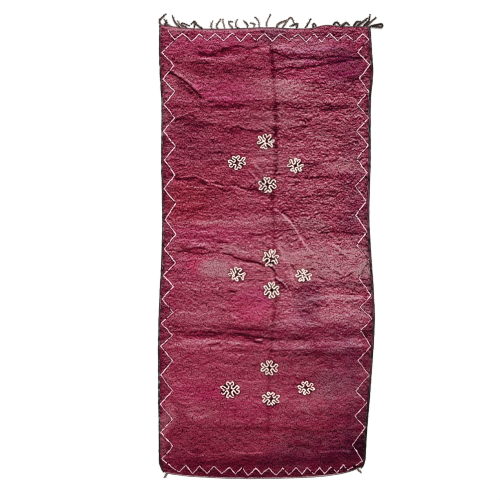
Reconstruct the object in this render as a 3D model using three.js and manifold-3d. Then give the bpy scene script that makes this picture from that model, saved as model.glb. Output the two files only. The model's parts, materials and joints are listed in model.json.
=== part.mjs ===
// A hand-knotted Berber wool rug, lying face up on the floor.
// Millimetres, +Z up, +Y towards the fringed end. The origin is under the middle of the rug.
import * as THREE from 'three';
import { mergeVertices } from 'three/addons/utils/BufferGeometryUtils.js';
import Module from 'manifold-3d';

const wasm = await Module();
wasm.setup();

// Heights above the floor
const PILE_TOP = 16;
const SIDE_RIM = 9;
const END_RIM = 7;
const RIM_SLOPE = 55;

// The pile's outline, as the rug lies: its long sides, and the arcs at its two foot corners
const LEFT_SIDE = [
  { x: -896, y: -1768 }, { x: -903, y: -748 }, { x: -894, y: -408 }, { x: -877, y: -68 },
  { x: -869, y: 272 }, { x: -877, y: 782 }, { x: -877, y: 1292 }, { x: -894, y: 1632 },
  { x: -894, y: 1933 },
];
const RIGHT_SIDE = [
  { x: 826, y: -1726 }, { x: 836, y: -1560 }, { x: 860, y: -1258 }, { x: 885, y: -918 },
  { x: 903, y: -578 }, { x: 895, y: -340 }, { x: 858, y: 272 }, { x: 868, y: 782 },
  { x: 871, y: 1292 }, { x: 889, y: 1540 }, { x: 881, y: 1680 }, { x: 866, y: 1914 },
];
const FOOT_CORNERS = {
  left: { x: -826, y: -1768, across: 70, along: 108, power: 2.0 },
  right: { x: 765, y: -1726, across: 61, along: 107, power: 2.4 },
};
const ARC_END = 62;
const ARC_STEPS = 5;
const FOOT_EDGE = [
  { x: -820, y: -1873 }, { x: -690, y: -1892 }, { x: -323, y: -1913 }, { x: 102, y: -1913 },
  { x: 420, y: -1901 }, { x: 620, y: -1877 }, { x: 730, y: -1850 },
];
const HEAD_EDGE = [
  { x: -816, y: 1917 }, { x: -600, y: 1896 }, { x: -306, y: 1894 }, { x: 34, y: 1905 },
  { x: 230, y: 1895 }, { x: 391, y: 1900 }, { x: 501, y: 1924 }, { x: 671, y: 1914 },
];

// Spacing of the pile's rows and columns of faces, and the extra ones on its sloping rim
const ROW_STEP = 31;
const COLUMN_STEP = 100;
const RIM_STEPS = [14, 34];

// Overcast side cords, the woven strip at the foot and the twined strip that holds the fringe
const GAP = 0.3;
const END_SETBACK = 2;
const LEFT_CORD = { width: 15, height: 12 };
const RIGHT_CORD = { width: 24, height: 13 };
const FOOT_STRIP = { width: 14, height: 6 };
const HEAD_STRIP = { width: 7, height: 7 };
const CORNER_TUFTS = [
  { root: -838, length: 38, width: 12, lean: 214, turn: 0, at: 0.5, over: 1 },
  { root: 776, length: 40, width: 11, lean: 136, turn: 0, at: 0.5, over: 1 },
];

// Creases from folded storage: how far each rises or sinks, how far it spreads, and its path
const CREASES = [
  { name: 'head trough, left', rise: -8, reach: 30,
    path: [[-620, 1668], [-255, 1700], [-34, 1751]] },
  { name: 'head ridge, left', rise: 4, reach: 34,
    path: [[-700, 1755], [-330, 1775], [-60, 1815]] },
  { name: 'head trough, right', rise: -6, reach: 28,
    path: [[51, 1717], [289, 1649], [671, 1632], [850, 1655]] },
  { name: 'slanting trough', rise: -5, reach: 24,
    path: [[144, 1538], [314, 1572], [578, 1618]] },
  { name: 'side trough', rise: -5, reach: 24,
    path: [[-816, 1615], [-493, 1606]] },
  { name: 'sharp fold, hollow', rise: -8, reach: 30,
    path: [[-816, 1500], [-640, 1385], [-510, 1275]] },
  { name: 'sharp fold, crest', rise: 6, reach: 28,
    path: [[-760, 1530], [-610, 1430], [-450, 1310]] },
  { name: 'upper band', rise: -5, reach: 36,
    path: [[-830, 1225], [-300, 1242], [671, 1235]] },
  { name: 'short slant', rise: -4, reach: 22,
    path: [[-773, 1139], [-646, 1190]] },
  { name: 'wavy trough', rise: -5, reach: 26,
    path: [[-773, 612], [-620, 632], [-255, 561], [25, 463]] },
  { name: 'slanting crest', rise: 5, reach: 28,
    path: [[82, 359], [221, 216]] },
  { name: 'middle trough', rise: -5, reach: 26,
    path: [[-323, -25], [-170, -68], [17, -115], [153, -263]] },
  { name: 'middle crest', rise: 4, reach: 34,
    path: [[331, -391], [850, -385]] },
  { name: 'cross fold, hollow', rise: -8, reach: 28,
    path: [[-800, -680], [-331, -684], [42, -739], [374, -748], [850, -722]] },
  { name: 'cross fold, crest', rise: 6, reach: 34,
    path: [[-700, -752], [-331, -756], [42, -812], [374, -818], [800, -795]] },
  { name: 'lower band', rise: -4, reach: 28,
    path: [[76, -880], [799, -872]] },
  { name: 'lengthwise fold', rise: -5, reach: 30,
    path: [[42, 1751], [81, 1232], [81, 714], [55, 467], [85, -408], [24, -1088], [17, -1521]] },
];
const CREASE_STEPS = 24;

// Fringe: lengths and widths in mm, headings in degrees from +Y towards +X. Each strand leaves
// the edge at its lean and turns once, around a fraction of its length.
const STRAND_STEPS = 12;
const STRAND_FLATNESS = 0.7;
const STRAND_ROOT = 0.45;
const STRAND_TIP = 0.55;
const FRINGE = [
  { root: -892, length: 102, width: 13, lean: -38, turn: 84, at: 0.3, over: 0.5 },
  { root: -866, length: 54, width: 13, lean: 52, turn: -96, at: 0.55, over: 0.4 },
  { root: -810, length: 44, width: 8, lean: -57, turn: 8, at: 0.5, over: 0.8 },
  { root: -730, length: 112, width: 13, lean: -46, turn: 28, at: 0.6, over: 0.6 },
  { root: -704, length: 66, width: 8, lean: -43, turn: 6, at: 0.5, over: 0.8 },
  { root: -668, length: 134, width: 10, lean: -62, turn: 174, at: 0.5, over: 0.28 },
  { root: -612, length: 96, width: 11, lean: 14, turn: -150, at: 0.66, over: 0.32 },
  { root: -537, length: 82, width: 12, lean: -58, turn: 10, at: 0.5, over: 0.6 },
  { root: -463, length: 60, width: 9, lean: -6, turn: 24, at: 0.5, over: 0.5 },
  { root: -404, length: 88, width: 10, lean: -44, turn: 80, at: 0.35, over: 0.4 },
  { root: -348, length: 76, width: 8, lean: -18, turn: 8, at: 0.5, over: 0.5 },
  { root: -278, length: 96, width: 10, lean: -40, turn: 140, at: 0.74, over: 0.36 },
  { root: -222, length: 88, width: 9, lean: -70, turn: 92, at: 0.48, over: 0.8 },
  { root: -157, length: 68, width: 11, lean: 2, turn: -58, at: 0.55, over: 0.7 },
  { root: -105, length: 60, width: 9, lean: 15, turn: -105, at: 0.6, over: 0.5 },
  { root: -58, length: 92, width: 9, lean: 0, turn: -48, at: 0.6, over: 0.7 },
  { root: 8, length: 106, width: 9, lean: -4, turn: 30, at: 0.4, over: 0.5 },
  { root: 87, length: 104, width: 14, lean: 26, turn: 44, at: 0.4, over: 0.5 },
  { root: 136, length: 176, width: 12, lean: 36, turn: 122, at: 0.68, over: 0.26 },
  { root: 256, length: 98, width: 13, lean: 24, turn: -134, at: 0.42, over: 0.3 },
  { root: 327, length: 90, width: 10, lean: 38, turn: -10, at: 0.5, over: 0.6 },
  { root: 400, length: 70, width: 11, lean: -2, turn: 158, at: 0.56, over: 0.5 },
  { root: 568, length: 76, width: 11, lean: 38, turn: 104, at: 0.55, over: 0.6 },
  { root: 640, length: 74, width: 15, lean: 54, turn: 80, at: 0.72, over: 0.36 },
  { root: 742, length: 70, width: 13, lean: 35, turn: 55, at: 0.7, over: 0.3 },
  { root: 768, length: 108, width: 14, lean: 56, turn: -6, at: 0.5, over: 0.6 },
  { root: 826, length: 112, width: 12, lean: 46, turn: -34, at: 0.6, over: 0.3 },
  { root: 850, length: 104, width: 11, lean: 46, turn: 4, at: 0.5, over: 0.6 },
  { root: 880, length: 206, width: 14, lean: 78, turn: 196, at: 0.58, over: 0.3 },
];

// Wool colours and finish
const WOOL = {
  raspberry: new THREE.MeshStandardMaterial({ color: 0x8e2446, roughness: 0.95, metalness: 0 }),
  charcoal: new THREE.MeshStandardMaterial({ color: 0x33262b, roughness: 0.95, metalness: 0 }),
  rose: new THREE.MeshStandardMaterial({ color: 0x96606c, roughness: 0.95, metalness: 0 }),
  walnut: new THREE.MeshStandardMaterial({ color: 0x6b5650, roughness: 0.95, metalness: 0 }),
};

const flatPoint = ({ x, y }) => new THREE.Vector3(x, y, 0);
const smooth = (value) => THREE.MathUtils.smoothstep(value, 0, 1);
const radians = THREE.MathUtils.degToRad;

// Points of a foot corner's arc, from the foot edge up to the side. side is -1 left, 1 right.
function cornerArc(corner, side) {
  const points = [];
  for (let i = 0; i < ARC_STEPS; i += 1) {
    const angle = radians(ARC_END * (1 - i / ARC_STEPS));
    const across = corner.across * Math.cos(angle) ** (2 / corner.power);
    const along = corner.along * Math.sin(angle) ** (2 / corner.power);
    points.push(new THREE.Vector3(corner.x + side * across, corner.y - along, 0));
  }
  return points;
}

const curveThrough = (points) => new THREE.CatmullRomCurve3(points);
const leftPoints = [...cornerArc(FOOT_CORNERS.left, -1), ...LEFT_SIDE.map(flatPoint)];
const rightPoints = [...cornerArc(FOOT_CORNERS.right, 1), ...RIGHT_SIDE.map(flatPoint)];
const outline = {
  left: curveThrough(leftPoints),
  right: curveThrough(rightPoints),
  foot: curveThrough([leftPoints[0], ...FOOT_EDGE.map(flatPoint), rightPoints[0]]),
  head: curveThrough([leftPoints.at(-1), ...HEAD_EDGE.map(flatPoint), rightPoints.at(-1)]),
};

// Fractions of a length at which faces begin: close together on both rims, then even steps
function faceStops(length, step) {
  const rim = [0, ...RIM_STEPS];
  const inner = length - 2 * rim.at(-1);
  const count = Math.round(inner / step);
  const stops = rim.map((distance) => distance / length);
  for (let i = 1; i < count; i += 1) {
    stops.push((rim.at(-1) + (inner * i) / count) / length);
  }
  const farRim = rim.map((distance) => 1 - distance / length);
  return [...stops, ...farRim.reverse()];
}

const rugLength = outline.left.getLength();
const rugWidth = outline.head.getLength();
const rowStops = faceStops(rugLength, ROW_STEP);
const columnStops = faceStops(rugWidth, COLUMN_STEP);

// A box of the given faces, bent so that its corner at fractions u, v, w lands at place(u, v, w)
function bentBox(columns, rows, layers, place) {
  const geometry = new THREE.BoxGeometry(1, 1, 1, columns, rows, layers);
  geometry.deleteAttribute('normal');
  geometry.deleteAttribute('uv');
  const merged = mergeVertices(geometry);
  const position = merged.getAttribute('position');
  const corner = new THREE.Vector3();
  for (let i = 0; i < position.count; i += 1) {
    corner.fromBufferAttribute(position, i);
    const spot = place(corner.x + 0.5, corner.y + 0.5, corner.z + 0.5);
    position.setXYZ(i, spot.x, spot.y, spot.z);
  }
  return merged;
}

function toSolid(geometry) {
  return new wasm.Manifold(new wasm.Mesh({
    numProp: 3,
    vertProperties: geometry.getAttribute('position').array,
    triVerts: Uint32Array.from(geometry.getIndex().array),
  }));
}

function toGeometry(solid) {
  const mesh = solid.getMesh();
  const geometry = new THREE.BufferGeometry();
  geometry.setAttribute('position', new THREE.BufferAttribute(mesh.vertProperties, 3));
  geometry.setIndex(new THREE.BufferAttribute(mesh.triVerts, 1));
  return geometry;
}

const stopAt = (stops, fraction) => stops[Math.round(fraction * (stops.length - 1))];

// Place inside the outline: the four edges blended across the rug
function acrossOutline(u, v) {
  const { left, right, foot, head } = outline;
  const spot = new THREE.Vector3();
  spot.addScaledVector(foot.getPointAt(u), 1 - v);
  spot.addScaledVector(head.getPointAt(u), v);
  spot.addScaledVector(left.getPointAt(v), 1 - u);
  spot.addScaledVector(right.getPointAt(v), u);
  spot.addScaledVector(left.getPoint(0), -(1 - u) * (1 - v));
  spot.addScaledVector(right.getPoint(0), -u * (1 - v));
  spot.addScaledVector(left.getPoint(1), -(1 - u) * v);
  spot.addScaledVector(right.getPoint(1), -u * v);
  return spot;
}

const creaseLines = CREASES.map((crease) => {
  const points = crease.path.map(([x, y]) => new THREE.Vector3(x, y, 0));
  return { ...crease, spots: curveThrough(points).getSpacedPoints(CREASE_STEPS) };
});

function creaseRise(spot) {
  const segment = new THREE.Line3();
  const nearest = new THREE.Vector3();
  let rise = 0;
  for (const crease of creaseLines) {
    let distance = Infinity;
    for (let i = 0; i < CREASE_STEPS; i += 1) {
      segment.set(crease.spots[i], crease.spots[i + 1]);
      segment.closestPointToPoint(spot, true, nearest);
      distance = Math.min(distance, nearest.distanceTo(spot));
    }
    rise += crease.rise * Math.exp(-((distance / crease.reach) ** 2));
  }
  return rise;
}

// Low lumps of matted pile, longer across the rug than along it
function lumps({ x, y }) {
  const rolling = Math.sin(x / 61 + 2.1 * Math.sin(y / 170)) * Math.sin(y / 37 + 1.7 * Math.sin(x / 210));
  const swelling = Math.sin(x / 140 - y / 95) * Math.sin(y / 260 + 0.6);
  return 1.3 * rolling + 1.2 * swelling;
}

// Pile and ground weave: one lumpy slab, flat underneath
function pileField() {
  const floorDepth = 4;
  const slab = bentBox(columnStops.length - 1, rowStops.length - 1, 1, (s, t, w) => {
    const u = stopAt(columnStops, s);
    const v = stopAt(rowStops, t);
    const spot = acrossOutline(u, v);
    const sideSlope = smooth((Math.min(u, 1 - u) * rugWidth) / RIM_SLOPE);
    const endSlope = smooth((Math.min(v, 1 - v) * rugLength) / RIM_SLOPE);
    const crown = PILE_TOP + creaseRise(spot) + lumps(spot);
    const rim = THREE.MathUtils.lerp(END_RIM, SIDE_RIM, endSlope);
    const top = THREE.MathUtils.lerp(rim, crown, sideSlope * endSlope);
    return spot.setZ(w > 0.5 ? top : -floorDepth);
  });
  // The part under the floor is taken off, which leaves one flat underside
  const roomHeight = 100;
  const room = new THREE.BoxGeometry(2 * rugWidth, 2 * rugLength, roomHeight);
  room.translate(0, 0, roomHeight / 2);
  room.deleteAttribute('normal');
  room.deleteAttribute('uv');
  return toGeometry(toSolid(slab).intersect(toSolid(mergeVertices(room))));
}

// Unit vector out of the rug at a fraction of an edge. side is 1 where the edge's left is outside.
function outward(edge, fraction, side) {
  const tangent = edge.getTangentAt(THREE.MathUtils.clamp(fraction, 0, 1));
  return new THREE.Vector3(-tangent.y * side, tangent.x * side, 0);
}

// A point of an edge, carried on straight beyond its ends by an overrun in mm
function alongEdge(edge, fraction, overrun) {
  const spot = edge.getPointAt(THREE.MathUtils.clamp(fraction, 0, 1));
  return spot.addScaledVector(edge.getTangentAt(fraction < 0.5 ? 0 : 1), overrun);
}

// A cord or strip laid against an edge: flat below, rounded on top, uneven by wander mm
function edging(edge, side, stops, { width, height }, wander, overruns) {
  const count = stops.length - 1;
  return bentBox(2, count, 1, (across, t, w) => {
    // On a left-hand edge the box is turned over, so that its faces still point out
    const s = side > 0 ? 1 - across : across;
    const index = Math.round(t * count);
    const fraction = stops[index];
    let overrun = 0;
    if (index === 0) overrun = -overruns.start;
    if (index === count) overrun = overruns.end;
    const spot = alongEdge(edge, fraction, overrun);
    const shoulder = w > 0.5 ? 0.16 : 0;
    const reach = THREE.MathUtils.lerp(shoulder, 1 - shoulder, s) * (width - wander);
    const uneven = wander * s * Math.abs(Math.sin(index * 1.7));
    const crest = s > 0.25 && s < 0.75 ? 1 : 0.7;
    spot.addScaledVector(outward(edge, fraction, side), GAP + reach + uneven);
    return spot.setZ(w > 0.5 ? height * crest : 0);
  });
}

// A strand lying level on the floor, from its root along its heading
function strand(root, { length, width, lean, turn, at, over }) {
  const step = length / STRAND_STEPS;
  const spots = [root.clone()];
  const headings = [lean];
  for (let i = 1; i <= STRAND_STEPS; i += 1) {
    const along = (i - 0.5) / STRAND_STEPS;
    const heading = lean + turn * smooth((along - at) / over + 0.5);
    const move = new THREE.Vector3(Math.sin(radians(heading)), Math.cos(radians(heading)), 0);
    spots.push(spots[i - 1].clone().addScaledVector(move, step));
    headings.push(heading);
  }
  return bentBox(1, STRAND_STEPS, 1, (s, t, w) => {
    const index = Math.round(t * STRAND_STEPS);
    const next = headings[Math.min(index + 1, STRAND_STEPS)];
    const heading = radians((headings[index] + next) / 2);
    const size = width * (index === 0 ? STRAND_ROOT : THREE.MathUtils.lerp(1, STRAND_TIP, t));
    const sideways = new THREE.Vector3(Math.cos(heading), -Math.sin(heading), 0);
    const inset = w > 0.5 ? 0.7 : 1;
    const spot = spots[index].clone().addScaledVector(sideways, (s - 0.5) * size * inset);
    return spot.setZ(w * size * STRAND_FLATNESS);
  });
}

// A strip along an end of the rug with strands fused into it
function strandedStrip(edge, side, sizes, wander, strands, overruns) {
  let solid = toSolid(edging(edge, side, columnStops, sizes, wander, overruns));
  const left = edge.getPoint(0).x;
  const right = edge.getPoint(1).x;
  for (const row of strands) {
    const fraction = THREE.MathUtils.clamp((row.root - left) / (right - left), 0, 1);
    const root = edge.getPointAt(fraction).setX(row.root);
    root.addScaledVector(outward(edge, fraction, side), GAP + sizes.width / 2);
    solid = solid.add(toSolid(strand(root, row)));
  }
  return toGeometry(solid);
}

const rug = new THREE.Group();

function addPiece(name, geometry, material) {
  const mesh = new THREE.Mesh(geometry, material);
  mesh.name = name;
  rug.add(mesh);
}

// The head strip runs on across the ends of both side cords, and the others stop short of it
const across = { start: LEFT_CORD.width, end: RIGHT_CORD.width };
const short = { start: 0, end: -END_SETBACK };
const between = { start: -END_SETBACK, end: -END_SETBACK };

addPiece('pile_field', pileField(), WOOL.raspberry);
addPiece('selvedge_left', edging(outline.left, 1, rowStops, LEFT_CORD, 0, short), WOOL.charcoal);
addPiece('selvedge_right', edging(outline.right, -1, rowStops, RIGHT_CORD, 0, short), WOOL.charcoal);
addPiece('foot_strip', strandedStrip(outline.foot, -1, FOOT_STRIP, 3, CORNER_TUFTS, between), WOOL.rose);
addPiece('fringe_head', strandedStrip(outline.head, 1, HEAD_STRIP, 1, FRINGE, across), WOOL.walnut);

export default rug;
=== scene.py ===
# %% [markdown]
# A hand-knotted Berber wool rug, dressed for its picture.
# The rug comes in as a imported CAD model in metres: a lumpy pile slab, two dark side cords, a woven
# strip at the foot and a fringe at the head. This script keeps those sizes, hides the plain solids
# and lays finer wool over the same forms. +Y points to the fringed end, and the floor is at z = 0.

# %% Load the frame
import json
import math

import bpy
import numpy as np
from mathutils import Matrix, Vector

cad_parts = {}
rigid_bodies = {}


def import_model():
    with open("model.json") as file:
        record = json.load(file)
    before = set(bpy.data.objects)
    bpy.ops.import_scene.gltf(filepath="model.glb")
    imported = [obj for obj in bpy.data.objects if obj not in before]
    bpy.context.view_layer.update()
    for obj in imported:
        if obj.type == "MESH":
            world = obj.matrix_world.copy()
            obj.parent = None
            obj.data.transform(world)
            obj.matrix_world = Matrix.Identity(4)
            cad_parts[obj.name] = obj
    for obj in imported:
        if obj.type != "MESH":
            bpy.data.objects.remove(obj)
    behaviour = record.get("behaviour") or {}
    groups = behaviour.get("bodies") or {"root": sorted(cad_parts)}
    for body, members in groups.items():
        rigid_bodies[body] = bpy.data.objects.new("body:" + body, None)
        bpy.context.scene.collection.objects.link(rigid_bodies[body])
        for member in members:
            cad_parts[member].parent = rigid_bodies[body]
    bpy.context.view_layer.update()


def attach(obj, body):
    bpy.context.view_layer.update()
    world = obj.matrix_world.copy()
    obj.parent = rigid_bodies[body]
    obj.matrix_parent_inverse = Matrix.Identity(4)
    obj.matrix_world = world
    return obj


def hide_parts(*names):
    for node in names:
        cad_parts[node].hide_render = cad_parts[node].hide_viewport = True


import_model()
MM = 0.001

# %% [markdown]
# The picture was taken square on to the rug's face, so the camera hangs over the middle of the rug
# and looks straight down. A long lens far away keeps the edges straight. An orthographic camera would
# also do, but a real lens keeps the slight perspective of a photograph. The photograph is sharp, so each
# pixel of the picture gathers light from its own width alone.

# %% Camera straight above
PICTURE_WIDTH = 4.25
LENS_MM = 85.0
SENSOR_MM = 36.0
PICTURE_CENTRE = (-0.136, 0.017)

camera_data = bpy.data.cameras.new("camera")
camera_data.lens = LENS_MM
camera_data.sensor_width = SENSOR_MM
camera = bpy.data.objects.new("camera", camera_data)
camera_height = PICTURE_WIDTH * LENS_MM / SENSOR_MM
camera.location = (*PICTURE_CENTRE, camera_height)
bpy.context.scene.collection.objects.link(camera)
bpy.context.scene.camera = camera
bpy.context.scene.cycles.filter_width = 1.0
print("camera is", round(camera_height, 2), "m above the floor")

# %% [markdown]
# Wool drinks in light, so it needs one broad light that rakes over the pile. A sun lamp with a wide disc
# is as soft as a big studio screen and lights both ends of a four-metre rug alike, which a near lamp
# doesn't. It comes from beyond the fringed end, and a pale sky fills the shadows. The Standard view
# keeps the dyes as strong as they are mixed.

# %% Light and floor
bpy.context.scene.view_settings.view_transform = "Standard"


def linear(hex_colour):
    """A colour written as sRGB hex, as the linear red, green, blue and alpha that Blender's nodes use."""
    parts = [int(hex_colour[i:i + 2], 16) / 255 for i in (1, 3, 5)]
    return (*[p / 12.92 if p <= 0.04045 else ((p + 0.055) / 1.055) ** 2.4 for p in parts], 1.0)


def add_node(tree, kind, settings=None, inputs=None, stops=None):
    """Adds a node. An input is a number, a colour, or the output of another node, which is then linked."""
    made = tree.nodes.new(kind)
    for name, value in (settings or {}).items():
        setattr(made, name, value)
    for name, value in (inputs or {}).items():
        if isinstance(value, bpy.types.NodeSocket):
            tree.links.new(value, made.inputs[name])
        else:
            made.inputs[name].default_value = value
    for index, (place, hex_colour) in enumerate(stops or []):
        elements = made.color_ramp.elements
        element = elements[index] if index < 2 else elements.new(place)
        element.position = place
        element.color = linear(hex_colour)
    return made


def new_material(name):
    """An empty node material and its node tree."""
    material = bpy.data.materials.new(name)
    material.use_nodes = True
    material.node_tree.nodes.clear()
    return material, material.node_tree


def soft_sun(name, place, strength, disc_degrees):
    """A sun lamp that shines from a place towards the middle of the rug, with a disc of that angle."""
    data = bpy.data.lights.new(name, "SUN")
    data.energy = strength
    data.angle = math.radians(disc_degrees)
    lamp = bpy.data.objects.new(name, data)
    lamp.location = place
    lamp.rotation_mode = "QUATERNION"
    lamp.rotation_quaternion = (-Vector(place)).to_track_quat("-Z", "Y")
    bpy.context.scene.collection.objects.link(lamp)


SUN_PLACE = (0.9, 4.6, 3.8)
SUN_STRENGTH = 3.1
SUN_DISC_DEGREES = 18
SKY_STRENGTH = 0.5

soft_sun("head light", SUN_PLACE, SUN_STRENGTH, SUN_DISC_DEGREES)
world = bpy.data.worlds.new("pale room")
world.use_nodes = True
world.node_tree.nodes["Background"].inputs["Color"].default_value = linear("#FFFFFF")
world.node_tree.nodes["Background"].inputs["Strength"].default_value = SKY_STRENGTH
bpy.context.scene.world = world

FLOOR_HALF = 9.0
floor_material, tree = new_material("pale floor")
paint = add_node(tree, "ShaderNodeBsdfPrincipled", inputs={"Base Color": linear("#F6F6F5"), "Roughness": 0.9})
add_node(tree, "ShaderNodeOutputMaterial", inputs={"Surface": paint.outputs["BSDF"]})
floor_mesh = bpy.data.meshes.new("floor")
floor_corners = [(x * FLOOR_HALF, y * FLOOR_HALF, 0) for x, y in ((-1, -1), (1, -1), (1, 1), (-1, 1))]
floor_mesh.from_pydata(floor_corners, [], [(0, 1, 2, 3)])
floor_mesh.materials.append(floor_material)
floor = bpy.data.objects.new("floor", floor_mesh)
bpy.context.scene.collection.objects.link(floor)
print("floor", 2 * FLOOR_HALF, "m square")

# %% [markdown]
# The rug's outline isn't a rectangle. A weaver's tension changes over the months, so the sides swell
# and draw in by a few centimetres. The tables are the CAD model's own, in millimetres: the two sides,
# the foot and the head. A Catmull-Rom curve passes through every point, which suits hand-set points.

# %% The rug's outline
LEFT_SIDE = [
    (-896, -1768), (-903, -748), (-894, -408), (-877, -68), (-869, 272), (-877, 782), (-877, 1292),
    (-894, 1632), (-894, 1933),
]
RIGHT_SIDE = [
    (826, -1726), (836, -1560), (860, -1258), (885, -918), (903, -578), (895, -340), (858, 272),
    (868, 782), (871, 1292), (889, 1540), (881, 1680), (866, 1914),
]
FOOT_CORNERS = {
    "left": {"x": -826, "y": -1768, "across": 70, "along": 108, "power": 2.0},
    "right": {"x": 765, "y": -1726, "across": 61, "along": 107, "power": 2.4},
}
ARC_END = 62
ARC_STEPS = 5
FOOT_EDGE = [
    (-820, -1873), (-690, -1892), (-323, -1913), (102, -1913), (420, -1901), (620, -1877), (730, -1850),
]
HEAD_EDGE = [
    (-816, 1917), (-600, 1896), (-306, 1894), (34, 1905), (230, 1895), (391, 1900), (501, 1924), (671, 1914),
]
EDGE_SPOTS = 1500
CURVE_STEPS = 60


def corner_arc(corner, side):
    """Points of a foot corner's arc, from the foot edge up to the side."""
    points = []
    for i in range(ARC_STEPS):
        angle = math.radians(ARC_END * (1 - i / ARC_STEPS))
        across = corner["across"] * math.cos(angle) ** (2 / corner["power"])
        along = corner["along"] * math.sin(angle) ** (2 / corner["power"])
        points.append((corner["x"] + side * across, corner["y"] - along))
    return points


def path_length(path):
    """The length of a path of straight steps."""
    return np.hypot(*np.diff(path, axis=0).T).sum()


def evenly(path, count):
    """The same path with its spots at even distances."""
    steps = np.hypot(*np.diff(path, axis=0).T)
    run = np.concatenate([[0], np.cumsum(steps)])
    wanted = np.linspace(0, run[-1], count)
    return np.stack([np.interp(wanted, run, path[:, 0]), np.interp(wanted, run, path[:, 1])], axis=1)


def curve_through(points, count):
    """Evenly spaced spots on the centripetal Catmull-Rom curve through the points."""
    p = np.array(points, float)
    p = np.vstack([2 * p[0] - p[1], p, 2 * p[-1] - p[-2]])
    share = np.linspace(0, 1, CURVE_STEPS, endpoint=False)[:, None]
    drawn = []
    for a, b, c, d in zip(p, p[1:], p[2:], p[3:]):
        before, here, after = (max(math.dist(*ends), 1e-4) ** 0.5 for ends in ((a, b), (b, c), (c, d)))
        leave = ((b - a) / before - (c - a) / (before + here) + (c - b) / here) * here
        arrive = ((c - b) / here - (d - b) / (here + after) + (d - c) / after) * here
        square = 3 * (c - b) - 2 * leave - arrive
        cube = 2 * (b - c) + leave + arrive
        drawn.append(b + leave * share + square * share**2 + cube * share**3)
    return evenly(np.vstack([*drawn, p[-2:-1]]), count)


left_points = corner_arc(FOOT_CORNERS["left"], -1) + LEFT_SIDE
right_points = corner_arc(FOOT_CORNERS["right"], 1) + RIGHT_SIDE
edges = {
    "left": curve_through(left_points, EDGE_SPOTS),
    "right": curve_through(right_points, EDGE_SPOTS),
    "foot": curve_through([left_points[0], *FOOT_EDGE, right_points[0]], EDGE_SPOTS),
    "head": curve_through([left_points[-1], *HEAD_EDGE, right_points[-1]], EDGE_SPOTS),
}


def edge_spot(name, share):
    """Place on an edge at a share of its length, counted from the foot or from the left."""
    at = np.clip(share, 0, 1) * (EDGE_SPOTS - 1)
    spots = np.arange(EDGE_SPOTS)
    return np.interp(at, spots, edges[name][:, 0]), np.interp(at, spots, edges[name][:, 1])


def across_outline(u, v):
    """Place inside the outline: the four edges blended across the rug."""
    foot, head = edge_spot("foot", u), edge_spot("head", u)
    left, right = edge_spot("left", v), edge_spot("right", v)
    place = []
    for axis in (0, 1):
        corners = (1 - u) * (1 - v) * edges["left"][0, axis] + u * (1 - v) * edges["right"][0, axis]
        corners = corners + (1 - u) * v * edges["left"][-1, axis] + u * v * edges["right"][-1, axis]
        blend = foot[axis] * (1 - v) + head[axis] * v + left[axis] * (1 - u) + right[axis] * u
        place.append(blend - corners)
    return place


def side_room(x, y):
    """Distance in mm to the nearer long side."""
    left = np.interp(y, edges["left"][:, 1], edges["left"][:, 0])
    right = np.interp(y, edges["right"][:, 1], edges["right"][:, 0])
    return np.minimum(x - left, right - x)


def foot_room(x, y):
    """Distance in mm to the foot edge."""
    return y - np.interp(x, edges["foot"][:, 0], edges["foot"][:, 1])


def head_room(x, y):
    """Distance in mm to the head edge."""
    return np.interp(x, edges["head"][:, 0], edges["head"][:, 1]) - y
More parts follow.
